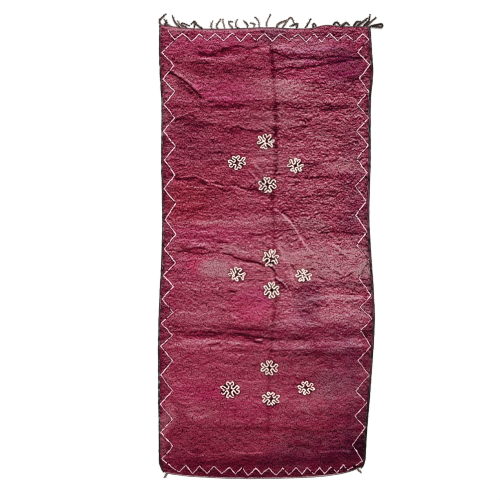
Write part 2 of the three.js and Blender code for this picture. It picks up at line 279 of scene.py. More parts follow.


# %% [markdown]
# The rug lay folded for years, so it kept soft troughs and ridges. Each crease is a path in mm with a
# height and a reach, and the heights add up as soft bell curves. Cloth simulation would make folds too,
# but not these folds. line is painted light along the crease, kept as a change of dye: below 0 it is
# painted shade in a trough, above 0 painted highlight on a crest, partly where the pile parts.

# %% Creases
CREASES = [
    {"name": "head trough, left", "rise": -8, "reach": 30, "line": -0.1,
     "path": [(-620, 1668), (-433, 1688), (-255, 1700), (-34, 1751)]},
    {"name": "head ridge, left", "rise": 4, "reach": 34, "line": 0.04,
     "path": [(-700, 1755), (-330, 1775), (-60, 1815)]},
    {"name": "head trough, right", "rise": -6, "reach": 28, "line": -0.05,
     "path": [(51, 1717), (289, 1649), (671, 1632), (850, 1655)]},
    {"name": "slanting trough", "rise": -5, "reach": 24, "line": -0.05,
     "path": [(144, 1538), (314, 1572), (578, 1618)]},
    {"name": "side trough", "rise": -5, "reach": 24, "line": -0.05,
     "path": [(-816, 1615), (-493, 1606)]},
    {"name": "sharp fold, hollow", "rise": -8, "reach": 26, "line": -0.12,
     "path": [(-833, 1521), (-690, 1400), (-561, 1266)]},
    {"name": "sharp fold, crest", "rise": 6, "reach": 28, "line": 0.06,
     "path": [(-790, 1530), (-640, 1410), (-500, 1290)]},
    {"name": "upper band", "rise": -5, "reach": 36, "line": -0.1,
     "path": [(-830, 1225), (-300, 1242), (671, 1235)]},
    {"name": "short slant", "rise": -4, "reach": 22, "line": -0.04,
     "path": [(-773, 1139), (-646, 1190)]},
    {"name": "wavy trough", "rise": -5, "reach": 26, "line": -0.08,
     "path": [(-773, 612), (-620, 632), (-255, 561), (25, 463)]},
    {"name": "slanting crest", "rise": 5, "reach": 28, "line": 0.05,
     "path": [(82, 359), (221, 216)]},
    {"name": "middle trough", "rise": -5, "reach": 26, "line": -0.08,
     "path": [(-323, -25), (-170, -68), (17, -115), (153, -263)]},
    {"name": "middle crest", "rise": 4, "reach": 34, "line": 0.13,
     "path": [(331, -391), (850, -385)]},
    {"name": "cross fold, hollow", "rise": -8, "reach": 28, "line": -0.08,
     "path": [(-800, -680), (-331, -684), (42, -739), (374, -748), (850, -722)]},
    {"name": "cross fold, crest", "rise": 6, "reach": 34, "line": 0.2,
     "path": [(-700, -752), (-331, -756), (42, -812), (374, -818), (800, -795)]},
    {"name": "lower band", "rise": -4, "reach": 28, "line": -0.14,
     "path": [(76, -880), (799, -872)]},
    {"name": "lengthwise fold, head", "rise": -5, "reach": 44, "line": -0.28,
     "path": [(42, 1751), (81, 1232), (81, 714), (55, 467)]},
    {"name": "lengthwise fold, middle", "rise": -5, "reach": 40, "line": -0.17,
     "path": [(55, 467), (70, 80), (85, -280)]},
    {"name": "lengthwise fold, deep", "rise": -5, "reach": 36, "line": -0.13,
     "path": [(92, -330), (72, -520), (55, -700)]},
    {"name": "lengthwise fold, foot", "rise": -5, "reach": 40, "line": -0.15,
     "path": [(50, -760), (24, -1088), (17, -1521)]},
]
print(len(CREASES), "creases")

# %% [markdown]
# Smaller partings of the pile are too shallow to be folds, so each is only painted: a dark stroke is
# painted shade and a light one painted highlight. Each has its change of dye, its reach in mm and its
# path. The paths were read off the photograph, in its pixels, so they stay in pixels in the table, and
# one function turns them into millimetres.

# %% Strokes
STROKES = {
    "head, left": [
        (-0.42, 7, [(222, 50), (232, 47), (238, 46.5), (248, 48), (258, 46.5)]),
        (-0.14, 18, [(222, 53), (245, 52), (262, 51)]),
        (-0.3, 14, [(200, 54), (207, 54.5), (214, 54.5)]),
        (-0.15, 12, [(214, 52), (226, 50.5), (240, 49.5)]),
        (-0.2, 6, [(200, 56), (222, 56.5)]),
        (0.16, 6, [(203, 58.5), (225, 57.5), (243, 55.5), (260, 57)]),
        (-0.2, 6, [(175, 62.5), (190, 63), (208, 63.5)]),
        (-0.18, 9, [(183, 66), (196, 66.5), (208, 66)]),
        (0.15, 6, [(180, 61), (200, 60), (206, 58.5), (215, 60.5)]),
        (-0.12, 8, [(215, 68), (235, 66.5), (262, 69)]),
        (-0.1, 20, [(228, 73), (245, 75), (262, 76)]),
        (-0.5, 6, [(169, 71.5), (174, 74.5), (181, 79), (188, 84.5), (194, 90), (201, 97)]),
        (0.2, 9, [(174, 71), (182, 76.5), (190, 82), (197, 88.5)]),
        (-0.16, 20, [(176, 83), (184, 88), (191, 93)]),
        (-0.2, 6, [(200, 97.5), (207, 101)]),
        (-0.25, 6, [(208, 101.5), (230, 102), (250, 101), (262, 101)]),
        (-0.1, 9, [(200, 106), (215, 107), (240, 106)]),
        (0.3, 6, [(175, 117.5), (182, 115), (188, 113)]),
        (-0.25, 8, [(177, 119.5), (190, 115), (195, 117)]),
        (0.14, 5, [(215, 111.5), (235, 111.5), (250, 110)]),
    ],
    "head, right": [
        (-0.42, 6, [(270, 50), (276, 53), (283, 56), (293, 59), (305, 58.5), (320, 59)]),
        (-0.2, 6, [(283, 54.5), (300, 54.5), (315, 55.5)]),
        (-0.35, 6, [(320, 59), (328, 57), (340, 56.5), (352, 58), (360, 57)]),
        (-0.25, 6, [(328, 61), (340, 62), (352, 60), (366, 58)]),
        (-0.4, 6, [
            (272, 71), (280, 69), (292, 67.5), (298, 69),
            (306, 67), (318, 65.5), (330, 63.5), (345, 61)]),
        (0.14, 9, [(285, 62), (300, 61.5), (312, 62.5)]),
        (0.12, 12, [(272, 46), (290, 47.5), (310, 49), (330, 47.5)]),
        (0.18, 6, [(283, 51.5), (300, 52), (320, 52.5)]),
        (-0.3, 5, [(300, 90), (310, 90.5)]),
        (-0.25, 5, [(312, 84), (325, 83)]),
        (-0.2, 5, [(312, 87), (322, 88)]),
        (-0.15, 10, [(268, 102.5), (290, 103.5), (310, 102.5), (330, 104)]),
        (-0.2, 8, [(292, 107.5), (305, 108.5), (312, 109)]),
        (-0.3, 6, [(320, 109.5), (332, 110)]),
        (-0.2, 5, [(322, 106), (332, 106)]),
        (-0.15, 8, [(345, 95), (356, 97)]),
    ],
    "first diamond, left": [
        (-0.2, 8, [(185, 125), (200, 126), (212, 125)]),
        (-0.15, 6, [(200, 122.5), (216, 125), (228, 129)]),
        (0.15, 5, [(228, 127), (236, 124.5), (246, 127), (256, 129)]),
        (-0.25, 5, [(230, 129.5), (236, 127), (246, 130), (262, 131.5)]),
        (-0.1, 8, [(195, 130), (215, 131), (240, 133)]),
        (-0.2, 5, [(175, 165), (183, 166)]),
        (-0.2, 5, [(208, 165), (220, 164.5)]),
        (0.12, 8, [(180, 160.5), (200, 161), (215, 159.5)]),
        (-0.42, 6, [
            (176, 179), (184, 179.5), (196, 178), (202, 180.5),
            (206, 183), (211, 182.5), (221, 184)]),
        (-0.32, 6, [
            (222, 185.5), (230, 186), (236, 185), (242, 188.5),
            (248, 189), (256, 190), (262, 193.5)]),
        (-0.25, 6, [(188, 181), (196, 180.5), (203, 183.5), (209, 184.5)]),
        (0.32, 5, [(207, 180.5), (212, 184), (222, 186.5), (232, 186.5), (240, 189), (246, 191)]),
        (0.2, 5, [(180, 177), (194, 176), (202, 178.5), (206, 180)]),
        (-0.2, 6, [(222, 190), (232, 192.5), (240, 195), (248, 198)]),
        (0.2, 5, [(236, 192), (243, 196), (250, 199)]),
        (0.14, 6, [(180, 186), (195, 187.5), (205, 188)]),
        (0.2, 5, [(249, 170), (262, 184)]),
        (0.25, 6, [(253, 163), (262, 172)]),
    ],
    "first diamond, right": [
        (0.25, 5, [(262, 128), (272, 136)]),
        (-0.25, 5, [(265, 124), (276, 131.5)]),
        (-0.15, 6, [(278, 122), (300, 127), (320, 125), (335, 127)]),
        (-0.1, 30, [(330, 133), (345, 140)]),
        (-0.3, 5, [(340, 141), (350, 143), (358, 141)]),
        (0.2, 5, [(298, 146), (306, 143.5), (318, 144.5), (328, 149)]),
        (0.3, 4, [(340, 158), (346, 159.5)]),
        (-0.16, 10, [(304, 164), (312, 163.5), (320, 164)]),
        (-0.12, 6, [(280, 175), (300, 178), (330, 176)]),
        (0.15, 8, [(287, 188), (300, 190), (310, 188)]),
        (-0.25, 5, [(300, 197), (306, 197)]),
        (-0.2, 6, [(318, 196), (328, 199)]),
        (-0.15, 10, [(345, 183), (354, 190)]),
    ],
    "middle, left": [
        (-0.1, 14, [(178, 211), (210, 209), (245, 211)]),
        (0.2, 6, [(203, 222), (212, 223), (220, 221), (230, 224)]),
        (0.15, 5, [(218, 226), (235, 226.5)]),
        (-0.2, 6, [(183, 225), (195, 226), (203, 226.5)]),
        (-0.25, 8, [(249, 233), (258, 235), (266, 233)]),
        (-0.35, 8, [(219, 241.5), (224, 242), (228, 243.5)]),
        (0.12, 5, [(192, 241), (200, 238), (212, 240)]),
        (0.25, 5, [(188, 247), (196, 246), (206, 244.5)]),
        (0.2, 5, [(222, 244), (232, 247), (240, 251), (247, 252)]),
        (-0.3, 5, [(182, 248), (190, 249.5), (195, 247.5), (205, 249)]),
        (-0.25, 5, [(213, 247), (222, 249)]),
        (-0.35, 6, [(177, 252), (185, 251), (192, 252.5), (198, 254), (204, 254)]),
        (-0.25, 5, [(205, 252.5), (214, 252), (222, 250.5)]),
        (-0.5, 7, [(224, 253), (232, 255.5), (238, 258.5), (246, 261), (256, 262.5), (266, 266)]),
        (-0.2, 5, [(238, 256), (246, 259), (256, 261)]),
        (0.2, 5, [(240, 262.5), (252, 266), (262, 270)]),
        (-0.2, 5, [(244, 264.5), (258, 269.5), (266, 273)]),
        (-0.3, 8, [(229, 291), (236, 291.5)]),
        (-0.1, 16, [(218, 296), (236, 300)]),
    ],
    "middle, right": [
        (0.42, 6, [(274, 209), (282, 214), (288, 220), (293, 226), (296, 230)]),
        (0.42, 6, [(296, 231), (302, 240), (306, 246), (311, 253)]),
        (0.14, 14, [(279, 246), (285, 257), (290, 268), (295, 284)]),
        (0.35, 5, [(279, 247), (286, 258)]),
        (-0.3, 5, [(291, 265), (297, 272)]),
        (-0.35, 5, [(310, 263), (316, 262), (321, 265)]),
        (-0.35, 5, [(322, 261), (329, 268)]),
        (-0.25, 5, [(311, 268), (320, 272)]),
        (-0.35, 5, [(333, 270), (343, 276)]),
        (0.35, 5, [(332, 267), (342, 273)]),
        (-0.25, 5, [(318, 276), (327, 280)]),
        (0.3, 5, [(333, 244), (345, 254)]),
        (-0.25, 5, [(336, 250), (347, 258)]),
        (-0.2, 5, [(283, 212), (290, 218), (294, 224)]),
        (-0.2, 8, [(268, 229), (280, 231), (295, 229.5)]),
        (-0.3, 6, [(320, 233), (335, 232), (350, 233), (358, 234)]),
        (-0.12, 8, [(325, 229), (345, 230)]),
        (-0.2, 6, [(296, 234), (306, 236.5)]),
        (0.3, 5, [(310, 253), (315, 251.5), (326, 248)]),
        (0.15, 5, [(335, 246), (345, 252), (352, 259)]),
        (0.3, 5, [(318, 263), (324, 262)]),
        (0.3, 4, [(340, 276), (347, 274), (352, 270)]),
        (-0.3, 4, [(340, 278), (348, 276), (353, 272)]),
        (0.2, 8, [(288, 276), (296, 283)]),
        (-0.35, 5, [(266, 264), (272, 268), (276, 274)]),
        (0.25, 5, [(268, 262), (274, 267), (278, 273)]),
        (0.35, 5, [(276, 277), (282, 281), (287, 287)]),
        (-0.3, 5, [(274, 278), (281, 283.5), (286, 289)]),
        (-0.14, 10, [(338, 282.5), (350, 284), (362, 286)]),
    ],
    "cross fold": [
        (-0.1, 18, [(277, 297), (274, 310), (273, 325)]),
        (0.2, 8, [(313, 299), (330, 298), (350, 299), (362, 297)]),
        (0.12, 7, [(330, 296), (345, 296)]),
        (-0.1, 30, [(306, 301), (318, 306)]),
        (-0.3, 4, [(302, 311), (309, 312)]),
        (-0.2, 4, [(300, 316), (306, 315)]),
        (0.08, 22, [(292, 320), (308, 320)]),
        (-0.12, 8, [(318, 322), (330, 324), (345, 326)]),
        (0.14, 12, [(180, 312), (200, 313), (220, 311)]),
        (0.3, 5, [(232, 315), (237, 318)]),
        (-0.15, 8, [(172, 327), (200, 326), (230, 328), (262, 330)]),
        (-0.2, 9, [(176, 332), (195, 331.5), (215, 332.5)]),
        (-0.2, 9, [(215, 333.5), (232, 333.5), (245, 334.5), (256, 337), (266, 338)]),
        (-0.15, 7, [(240, 334), (256, 337), (264, 338)]),
        (-0.15, 10, [(184, 335), (200, 335.5), (215, 336)]),
        (-0.25, 6, [(245, 338), (258, 339.5)]),
        (-0.08, 12, [(268, 339), (290, 338.5), (308, 338)]),
        (0.5, 5, [(256, 339.5), (262, 339.5)]),
        (-0.45, 4, [(254, 341.5), (262, 343)]),
        (0.12, 16, [(172, 343), (200, 343), (240, 342)]),
        (0.08, 14, [(186, 348), (205, 348), (240, 347)]),
        (-0.35, 5, [(209, 344.5), (215, 344), (220, 342.5)]),
        (0.1, 20, [(270, 344), (320, 343)]),
        (0.14, 8, [(320, 338), (345, 338.5), (360, 340)]),
        (0.12, 12, [(322, 342), (345, 343), (360, 344)]),
        (-0.18, 7, [
            (264, 350), (280, 350.5), (300, 349.5), (316, 349),
            (325, 346.5), (340, 347), (360, 348)]),
        (-0.15, 6, [(225, 351), (245, 351), (260, 352)]),
    ],
    "foot": [
        (0.1, 10, [(175, 385), (195, 386)]),
        (0.14, 6, [(175, 396), (190, 397)]),
        (0.14, 6, [(182, 403), (192, 402)]),
        (0.1, 9, [(187, 414), (197, 416.5), (206, 416)]),
        (0.12, 6, [(216, 411), (230, 412)]),
        (-0.1, 10, [(200, 427), (240, 428), (268, 427)]),
        (0.1, 7, [(180, 446), (187, 450)]),
        (0.2, 5, [(188, 452), (196, 455), (205, 454)]),
        (0.2, 5, [(230, 451), (245, 453), (262, 452.5)]),
        (0.25, 5, [(320, 452), (335, 450.5), (350, 451)]),
        (-0.12, 8, [(186, 460), (200, 462), (215, 461)]),
        (-0.1, 8, [(270, 424), (300, 430), (345, 431)]),
        (-0.1, 14, [(290, 446), (320, 445)]),
    ],
}
PHOTO_MIDDLE = (266, 252)
PHOTO_MM = 8.5


def from_photo(points):
    """Places read in the photograph's pixels, as millimetres on the rug."""
    return [((x - PHOTO_MIDDLE[0]) * PHOTO_MM, (PHOTO_MIDDLE[1] - y) * PHOTO_MM) for x, y in points]


print(sum(len(group) for group in STROKES.values()), "strokes, read at", PHOTO_MM, "mm a pixel")

# %% [markdown]
# Creases and strokes are drawn once onto two maps, a coarse grid of heights and one of painted shade and
# highlight, kept as changes of dye, which are then read wherever they are needed. That is far quicker than
# measuring the distance from every lock to every path. A lock is wider than the thinnest strokes and blurs
# them, so a thin stroke is drawn stronger.

# %% Crease maps
MAP_STEP = 4
MAP_LOW = (-960, -1960)
MAP_SIZE = (483, 990)
LINE_SHARE = 0.42
STROKE_ROOM = 3
BELL_SPOTS = 13
THIN_GAIN = 3.0
LOCK_BLUR = 4


def distance_to_path(x, y, path):
    """Distance in mm from each spot to a path of straight steps."""
    least = np.full(np.shape(x), np.inf)
    for (ax, ay), (bx, by) in zip(path, path[1:]):
        dx, dy = bx - ax, by - ay
        share = np.clip(((x - ax) * dx + (y - ay) * dy) / (dx * dx + dy * dy + 1e-9), 0, 1)
        least = np.minimum(least, np.hypot(x - ax - share * dx, y - ay - share * dy))
    return least


map_x, map_y = np.meshgrid(*[
    low + MAP_STEP * np.arange(size) for low, size in zip(MAP_LOW, MAP_SIZE)], indexing="ij")
crease_rise = np.zeros(MAP_SIZE)
painted_crease_shading = np.zeros(MAP_SIZE)


def add_bell(values, height, reach, path):
    """Adds a soft ridge along a path to a map, worked out only where it is higher than nothing."""
    curve = curve_through(path, BELL_SPOTS)
    low = ((curve.min(axis=0) - STROKE_ROOM * reach - MAP_LOW) / MAP_STEP).astype(int)
    high = ((curve.max(axis=0) + STROKE_ROOM * reach - MAP_LOW) / MAP_STEP).astype(int) + 2
    part = (slice(max(low[0], 0), high[0]), slice(max(low[1], 0), high[1]))
    away = distance_to_path(map_x[part], map_y[part], curve)
    values[part] += height * np.exp(-((away / reach) ** 2))


# Heights go to one map; the creases' line and the strokes go to the other, as painted shade and highlight.
for crease in CREASES:
    add_bell(crease_rise, crease["rise"], crease["reach"], crease["path"])
    add_bell(painted_crease_shading, crease["line"], crease["reach"] * LINE_SHARE, crease["path"])
for group in STROKES.values():
    for change, reach, stroke in group:
        stronger = change * (1 + THIN_GAIN / reach)
        add_bell(painted_crease_shading, stronger, math.hypot(reach, LOCK_BLUR), from_photo(stroke))


def read_map(values, x, y):
    """A map's value at each spot, blended between its four nearest grid points."""
    gx = np.clip((x - MAP_LOW[0]) / MAP_STEP, 0, MAP_SIZE[0] - 1.001)
    gy = np.clip((y - MAP_LOW[1]) / MAP_STEP, 0, MAP_SIZE[1] - 1.001)
    ix, iy = gx.astype(int), gy.astype(int)
    fx, fy = gx - ix, gy - iy
    low = values[ix, iy] * (1 - fx) + values[ix + 1, iy] * fx
    high = values[ix, iy + 1] * (1 - fx) + values[ix + 1, iy + 1] * fx
    return low * (1 - fy) + high * fy


print("creases from", round(crease_rise.min(), 1), "to", round(crease_rise.max(), 1), "mm")
print("strokes change the dye by", painted_crease_shading.min().round(2), "to", painted_crease_shading.max().round(2))

# %% [markdown]
# Old pile mats into small wavy ridges that run across the rug, because the knots stand in rows and lean
# to the foot. A ridge rises slowly from the head side and drops quickly on the foot side, like shingles.
# clouds() is value noise: random numbers on a grid, blended smoothly, stretched to a real size in mm.
# Most fields are layers of it. A layer's row holds its strength, its size across and along, and its seed.

# %% The pile's top
PILE_TOP = 16
SIDE_RIM = 9
END_RIM = 7
RIM_SLOPE = 55
RIDGE_STEP = 33
RIDGE_HEIGHT = 1.4
RIDGE_STEEP = 0.3
STREAK_HEIGHT = 1.7
CLOUD_CELLS = 509
STREAK_WANDER = [(15, 74, 42, 15), (7, 30, 22, 16)]
STREAK_LAYERS = [(0.34, 100, 17, 17), (0.66, 36, 17, 18)]
BAND_WANDER = [(24, 170, 90, 19)]
BAND_LAYERS = [(0.45, 220, 72, 20), (0.55, 170, 34, 25)]
RIDGE_WANDER = [(1.2, 190, 90, 10), (0.6, 80, 40, 11), (0.25, 36, 20, 12)]
RIDGE_LAYERS = [(0.9, 90, 40, 13)]


def clouds(x, y, across, along, seed):
    """A smooth random field from -1 to 1 with patches of about across by along mm."""
    cells = np.random.default_rng(seed).uniform(-1, 1, (CLOUD_CELLS, CLOUD_CELLS))
    gx, gy = x / across + 200.5, y / along + 230.5
    ix, iy = np.floor(gx).astype(int), np.floor(gy).astype(int)
    fx, fy = gx - ix, gy - iy
    fx, fy = fx * fx * (3 - 2 * fx), fy * fy * (3 - 2 * fy)
    ix, iy = ix % (CLOUD_CELLS - 1), iy % (CLOUD_CELLS - 1)
    low = cells[ix, iy] * (1 - fx) + cells[ix + 1, iy] * fx
    high = cells[ix, iy + 1] * (1 - fx) + cells[ix + 1, iy + 1] * fx
    return low * (1 - fy) + high * fy


def smooth(value):
    """Eases from 0 to 1 and holds there."""
    value = np.clip(value, 0, 1)
    return value * value * (3 - 2 * value)


def strokes(x, y, across, along, seed):
    """Strokes from -1 to 1 that lie across the rug: pairs of a light and a dark one, each along mm thick."""
    return clouds(x, y + along / 2, across, along, seed) - clouds(x, y - along / 2, across, along, seed)


def layered(start, x, y, layers, kind=clouds):
    """start plus layers of noise, each with its strength, its size across and along, and its seed."""
    for strength, *size in layers:
        start = start + strength * kind(x, y, *size)
    return start


def streaks_at(x, y):
    """Matted streaks from -1 to 1: short wavy strokes across the rug, about one lock thick."""
    return layered(0, x, layered(y, x, y, STREAK_WANDER), STREAK_LAYERS, strokes)


def weft_bands(x, y):
    """Long soft bands from -1 to 1, where a few rows of knots together came out lighter or darker."""
    return layered(0, x, layered(y, x, y, BAND_WANDER), BAND_LAYERS, strokes)


def ridge_share(x, y):
    """Where a spot lies between one matted ridge and the next, from 0 at its foot side to 1."""
    turns = y / RIDGE_STEP + layered(0, x, y, RIDGE_WANDER)
    return turns - np.floor(turns)


def ridges(x, y):
    """Matted ridges from -1 in a furrow to 1 on a crest, steep on the foot side."""
    share = ridge_share(x, y)
    rising = -np.cos(np.pi * share / RIDGE_STEEP)
    falling = np.cos(np.pi * (share - RIDGE_STEEP) / (1 - RIDGE_STEEP))
    strength = 0.35 + 0.65 * smooth(layered(0.55, x, y, RIDGE_LAYERS))
    return np.where(share < RIDGE_STEEP, rising, falling) * strength


def slab_top(x, y):
    """Height in mm of the CAD slab's top: its crown with its lumps, the creases, and the slope to the rim."""
    side = smooth(side_room(x, y) / RIM_SLOPE)
    end = smooth(np.minimum(foot_room(x, y), head_room(x, y)) / RIM_SLOPE)
    rolling = np.sin(x / 61 + 2.1 * np.sin(y / 170)) * np.sin(y / 37 + 1.7 * np.sin(x / 210))
    swelling = np.sin(x / 140 - y / 95) * np.sin(y / 260 + 0.6)
    crown = PILE_TOP + read_map(crease_rise, x, y) + 1.3 * rolling + 1.2 * swelling
    rim = END_RIM + (SIDE_RIM - END_RIM) * end
    return rim + (crown - rim) * side * end


def pile_top(x, y):
    """Height in mm of the matted pile: the slab's top with ridges and streaks."""
    mat = RIDGE_HEIGHT * ridges(x, y) + STREAK_HEIGHT * streaks_at(x, y)
    return slab_top(x, y) + mat * smooth(slab_top(x, y) / PILE_TOP)


sample_u, sample_v = np.random.default_rng(1).uniform(0, 1, (2, 4000))
sample_top = pile_top(*across_outline(sample_u, sample_v))
print("pile top from", sample_top.min().round(1), "to", sample_top.max().round(1), "mm")

# %% [markdown]
# A thin pale zigzag runs round the border. It is a traditional border, knotted by eye: each side has
# sixteen teeth at nearly even steps, which drift a little along the rug. So a rule places them, and a
# short table says how far the teeth have drifted at a few of them, as counted down from the head.

# %% The border zigzag's path
SIDE_TEETH = 16
SIDE_DEPTH = 97
LEFT_TEETH = {
    "first": 1693, "last": -1761, "inset": 10,
    "drift": [(0, 0), (3, 20), (5, -6), (7, -58), (9, -27), (11, 40), (13, 0)],
}
RIGHT_TEETH = {
    "first": 1810, "last": -1777, "inset": 2,
    "drift": [(0, 0), (3, 47), (5.5, 66), (8, 26), (9, -32), (10.5, 36), (12.5, 0), (14, 44), (15, 0)],
}
HEAD_TEETH = {
    "count": 12, "first": -706, "last": 819, "high": 1853, "low": 1789, "sag": 0,
    "drift": [(0, 0), (11, 0)],
}
FOOT_TEETH = {
    "count": 13, "first": -685, "last": 654, "high": -1812, "low": -1873, "sag": 20,
    "drift": [(0, 0), (3, 35), (8, 45), (12, 0)],
}
JOINTS = {"head left": (-771, 1797), "foot right": (698, -1860), "foot left": (-742, -1870)}
ZIGZAG_WOBBLE = 6


def side_teeth(sizes, side):
    """Outer and inner points of one side's teeth, from the head down. side is -1 left, 1 right."""
    tooth = np.arange(0, SIDE_TEETH - 0.5, 0.5)
    drift = np.interp(tooth, *zip(*sizes["drift"]))
    y = sizes["first"] + (sizes["last"] - sizes["first"]) * tooth / (SIDE_TEETH - 1) + drift
    outline = edges["left" if side < 0 else "right"]
    edge = np.interp(y, outline[:, 1], outline[:, 0])
    inset = sizes["inset"] + SIDE_DEPTH * (tooth % 1 > 0)
    return np.stack([edge - side * inset, y], axis=1)


def end_teeth(sizes):
    """High and low points of the teeth along one end, from the left."""
    tooth = np.arange(0, sizes["count"] - 0.5, 0.5)
    along = tooth / (sizes["count"] - 1)
    x = sizes["first"] + (sizes["last"] - sizes["first"]) * along + np.interp(tooth, *zip(*sizes["drift"]))
    y = np.where(tooth % 1 > 0, sizes["low"], sizes["high"]) - sizes["sag"] * 4 * along * (1 - along)
    return np.stack([x, y], axis=1)


wobble = np.random.default_rng(5)
border = np.vstack([
    side_teeth(LEFT_TEETH, -1)[::-1], [JOINTS["head left"]], end_teeth(HEAD_TEETH),
    side_teeth(RIGHT_TEETH, 1), [JOINTS["foot right"]], end_teeth(FOOT_TEETH)[::-1], [JOINTS["foot left"]],
])
border = border + wobble.uniform(-ZIGZAG_WOBBLE, ZIGZAG_WOBBLE, border.shape)
stray_leg = np.array([(-830, 1875), JOINTS["head left"]])
zigzag_paths = [np.vstack([border, border[:1]]), stray_leg]
print(len(border), "turns in the zigzag")

# %% [markdown]
# Twelve cream rosettes stand in three diamonds. Each is one closed line with eight hooked lobes, a common
# Berber flower. One quarter is charted on the knots' grid and mirrored, and each flower is
# then turned, stretched and bent a little, because no two hand-knotted flowers are alike.

# %% The rosettes' lines
ROSETTE_QUARTER = [
    (0, 38), (-8, 49), (-17, 55), (-26, 51), (-27, 41), (-21, 33), (-14, 26), (-11, 19), (-17, 11), (-25, 7),
    (-34, 12), (-42, 20), (-51, 28), (-61, 30), (-68, 24), (-65, 14), (-57, 8), (-49, 1),
]
ROSETTES = [
    {"at": (-3, 938), "turn": -14, "size": (0.98, 1.15), "bend": 8},
    {"at": (-248, 760), "turn": 10, "size": (1.04, 1.0), "bend": 4},
    {"at": (250, 734), "turn": -20, "size": (0.9, 1.06), "bend": 4},
    {"at": (12, 570), "turn": 6, "size": (1.02, 1.15), "bend": 4},
    {"at": (40, -51), "turn": -14, "size": (0.92, 1.26), "bend": 6},
    {"at": (-247, -190), "turn": -16, "size": (0.98, 0.98), "bend": 6},
    {"at": (318, -199), "turn": -18, "size": (0.86, 0.94), "bend": 6},
    {"at": (47, -325), "turn": 0, "size": (0.9, 1.22), "bend": 4},
    {"at": (28, -983), "turn": -3, "size": (1.0, 1.1), "bend": 4},
    {"at": (-304, -1170), "turn": 3, "size": (1.08, 1.16), "bend": 4},
    {"at": (339, -1152), "turn": 10, "size": (0.93, 1.0), "bend": 4},
    {"at": (40, -1246), "turn": -2, "size": (1.0, 1.0), "bend": 4},
]
BEND_REACH = 30
BEND_SHARE = 1.3
ROSETTE_SPOTS = 240
ROSETTE_SEED = 300


def rosette_line(row, seed):
    """The closed line of one rosette, at its place."""
    quarter = np.array(ROSETTE_QUARTER, float)
    mirrored = [quarter, quarter[::-1] * (1, -1), quarter * (-1, -1), quarter[::-1] * (-1, 1)]
    ring = np.vstack([part[:-1] for part in mirrored])
    line = curve_through(np.vstack([ring, ring[:1]]), ROSETTE_SPOTS) * row["size"]
    bent = [clouds(line[:, 0], line[:, 1], BEND_REACH, BEND_REACH, seed + shift) for shift in (0, 50)]
    line = line + BEND_SHARE * row["bend"] * np.stack(bent, axis=1)
    angle = math.radians(row["turn"])
    spin = np.array([[math.cos(angle), math.sin(angle)], [-math.sin(angle), math.cos(angle)]])
    return line @ spin + row["at"]


rosette_lines = [rosette_line(row, ROSETTE_SEED + i) for i, row in enumerate(ROSETTES)]
print(len(rosette_lines), "rosettes, the first", np.ptp(rosette_lines[0], axis=0).round(), "mm")

# %% [markdown]
# Wool for such a rug is dyed a small pot at a time, and the pots never match. The weaver knots across the
# rug, so the changes show as bands and patches, which is called abrash. Sun and feet fade other places.
# The patches along the folds are not dye: they are painted shade in the troughs and painted highlight on
# the crests. A table names the patches that show most, each with its place and half size in mm, and says
# how it differs: dye is light or dark, magenta, plum and crimson are hues, dust is faded.
# Each was placed one by one, and its strength was then adjusted until the render's broad tones were right.

# %% Dye lots, faded places and painted fold shade


def lot(name, at, half, turn=0, **changes):
    """A patch of the rug: its name, its place and half size in mm, its slant, and how its dyes differ."""
    return {"name": name, "at": at, "half": half, "turn": turn, **changes}


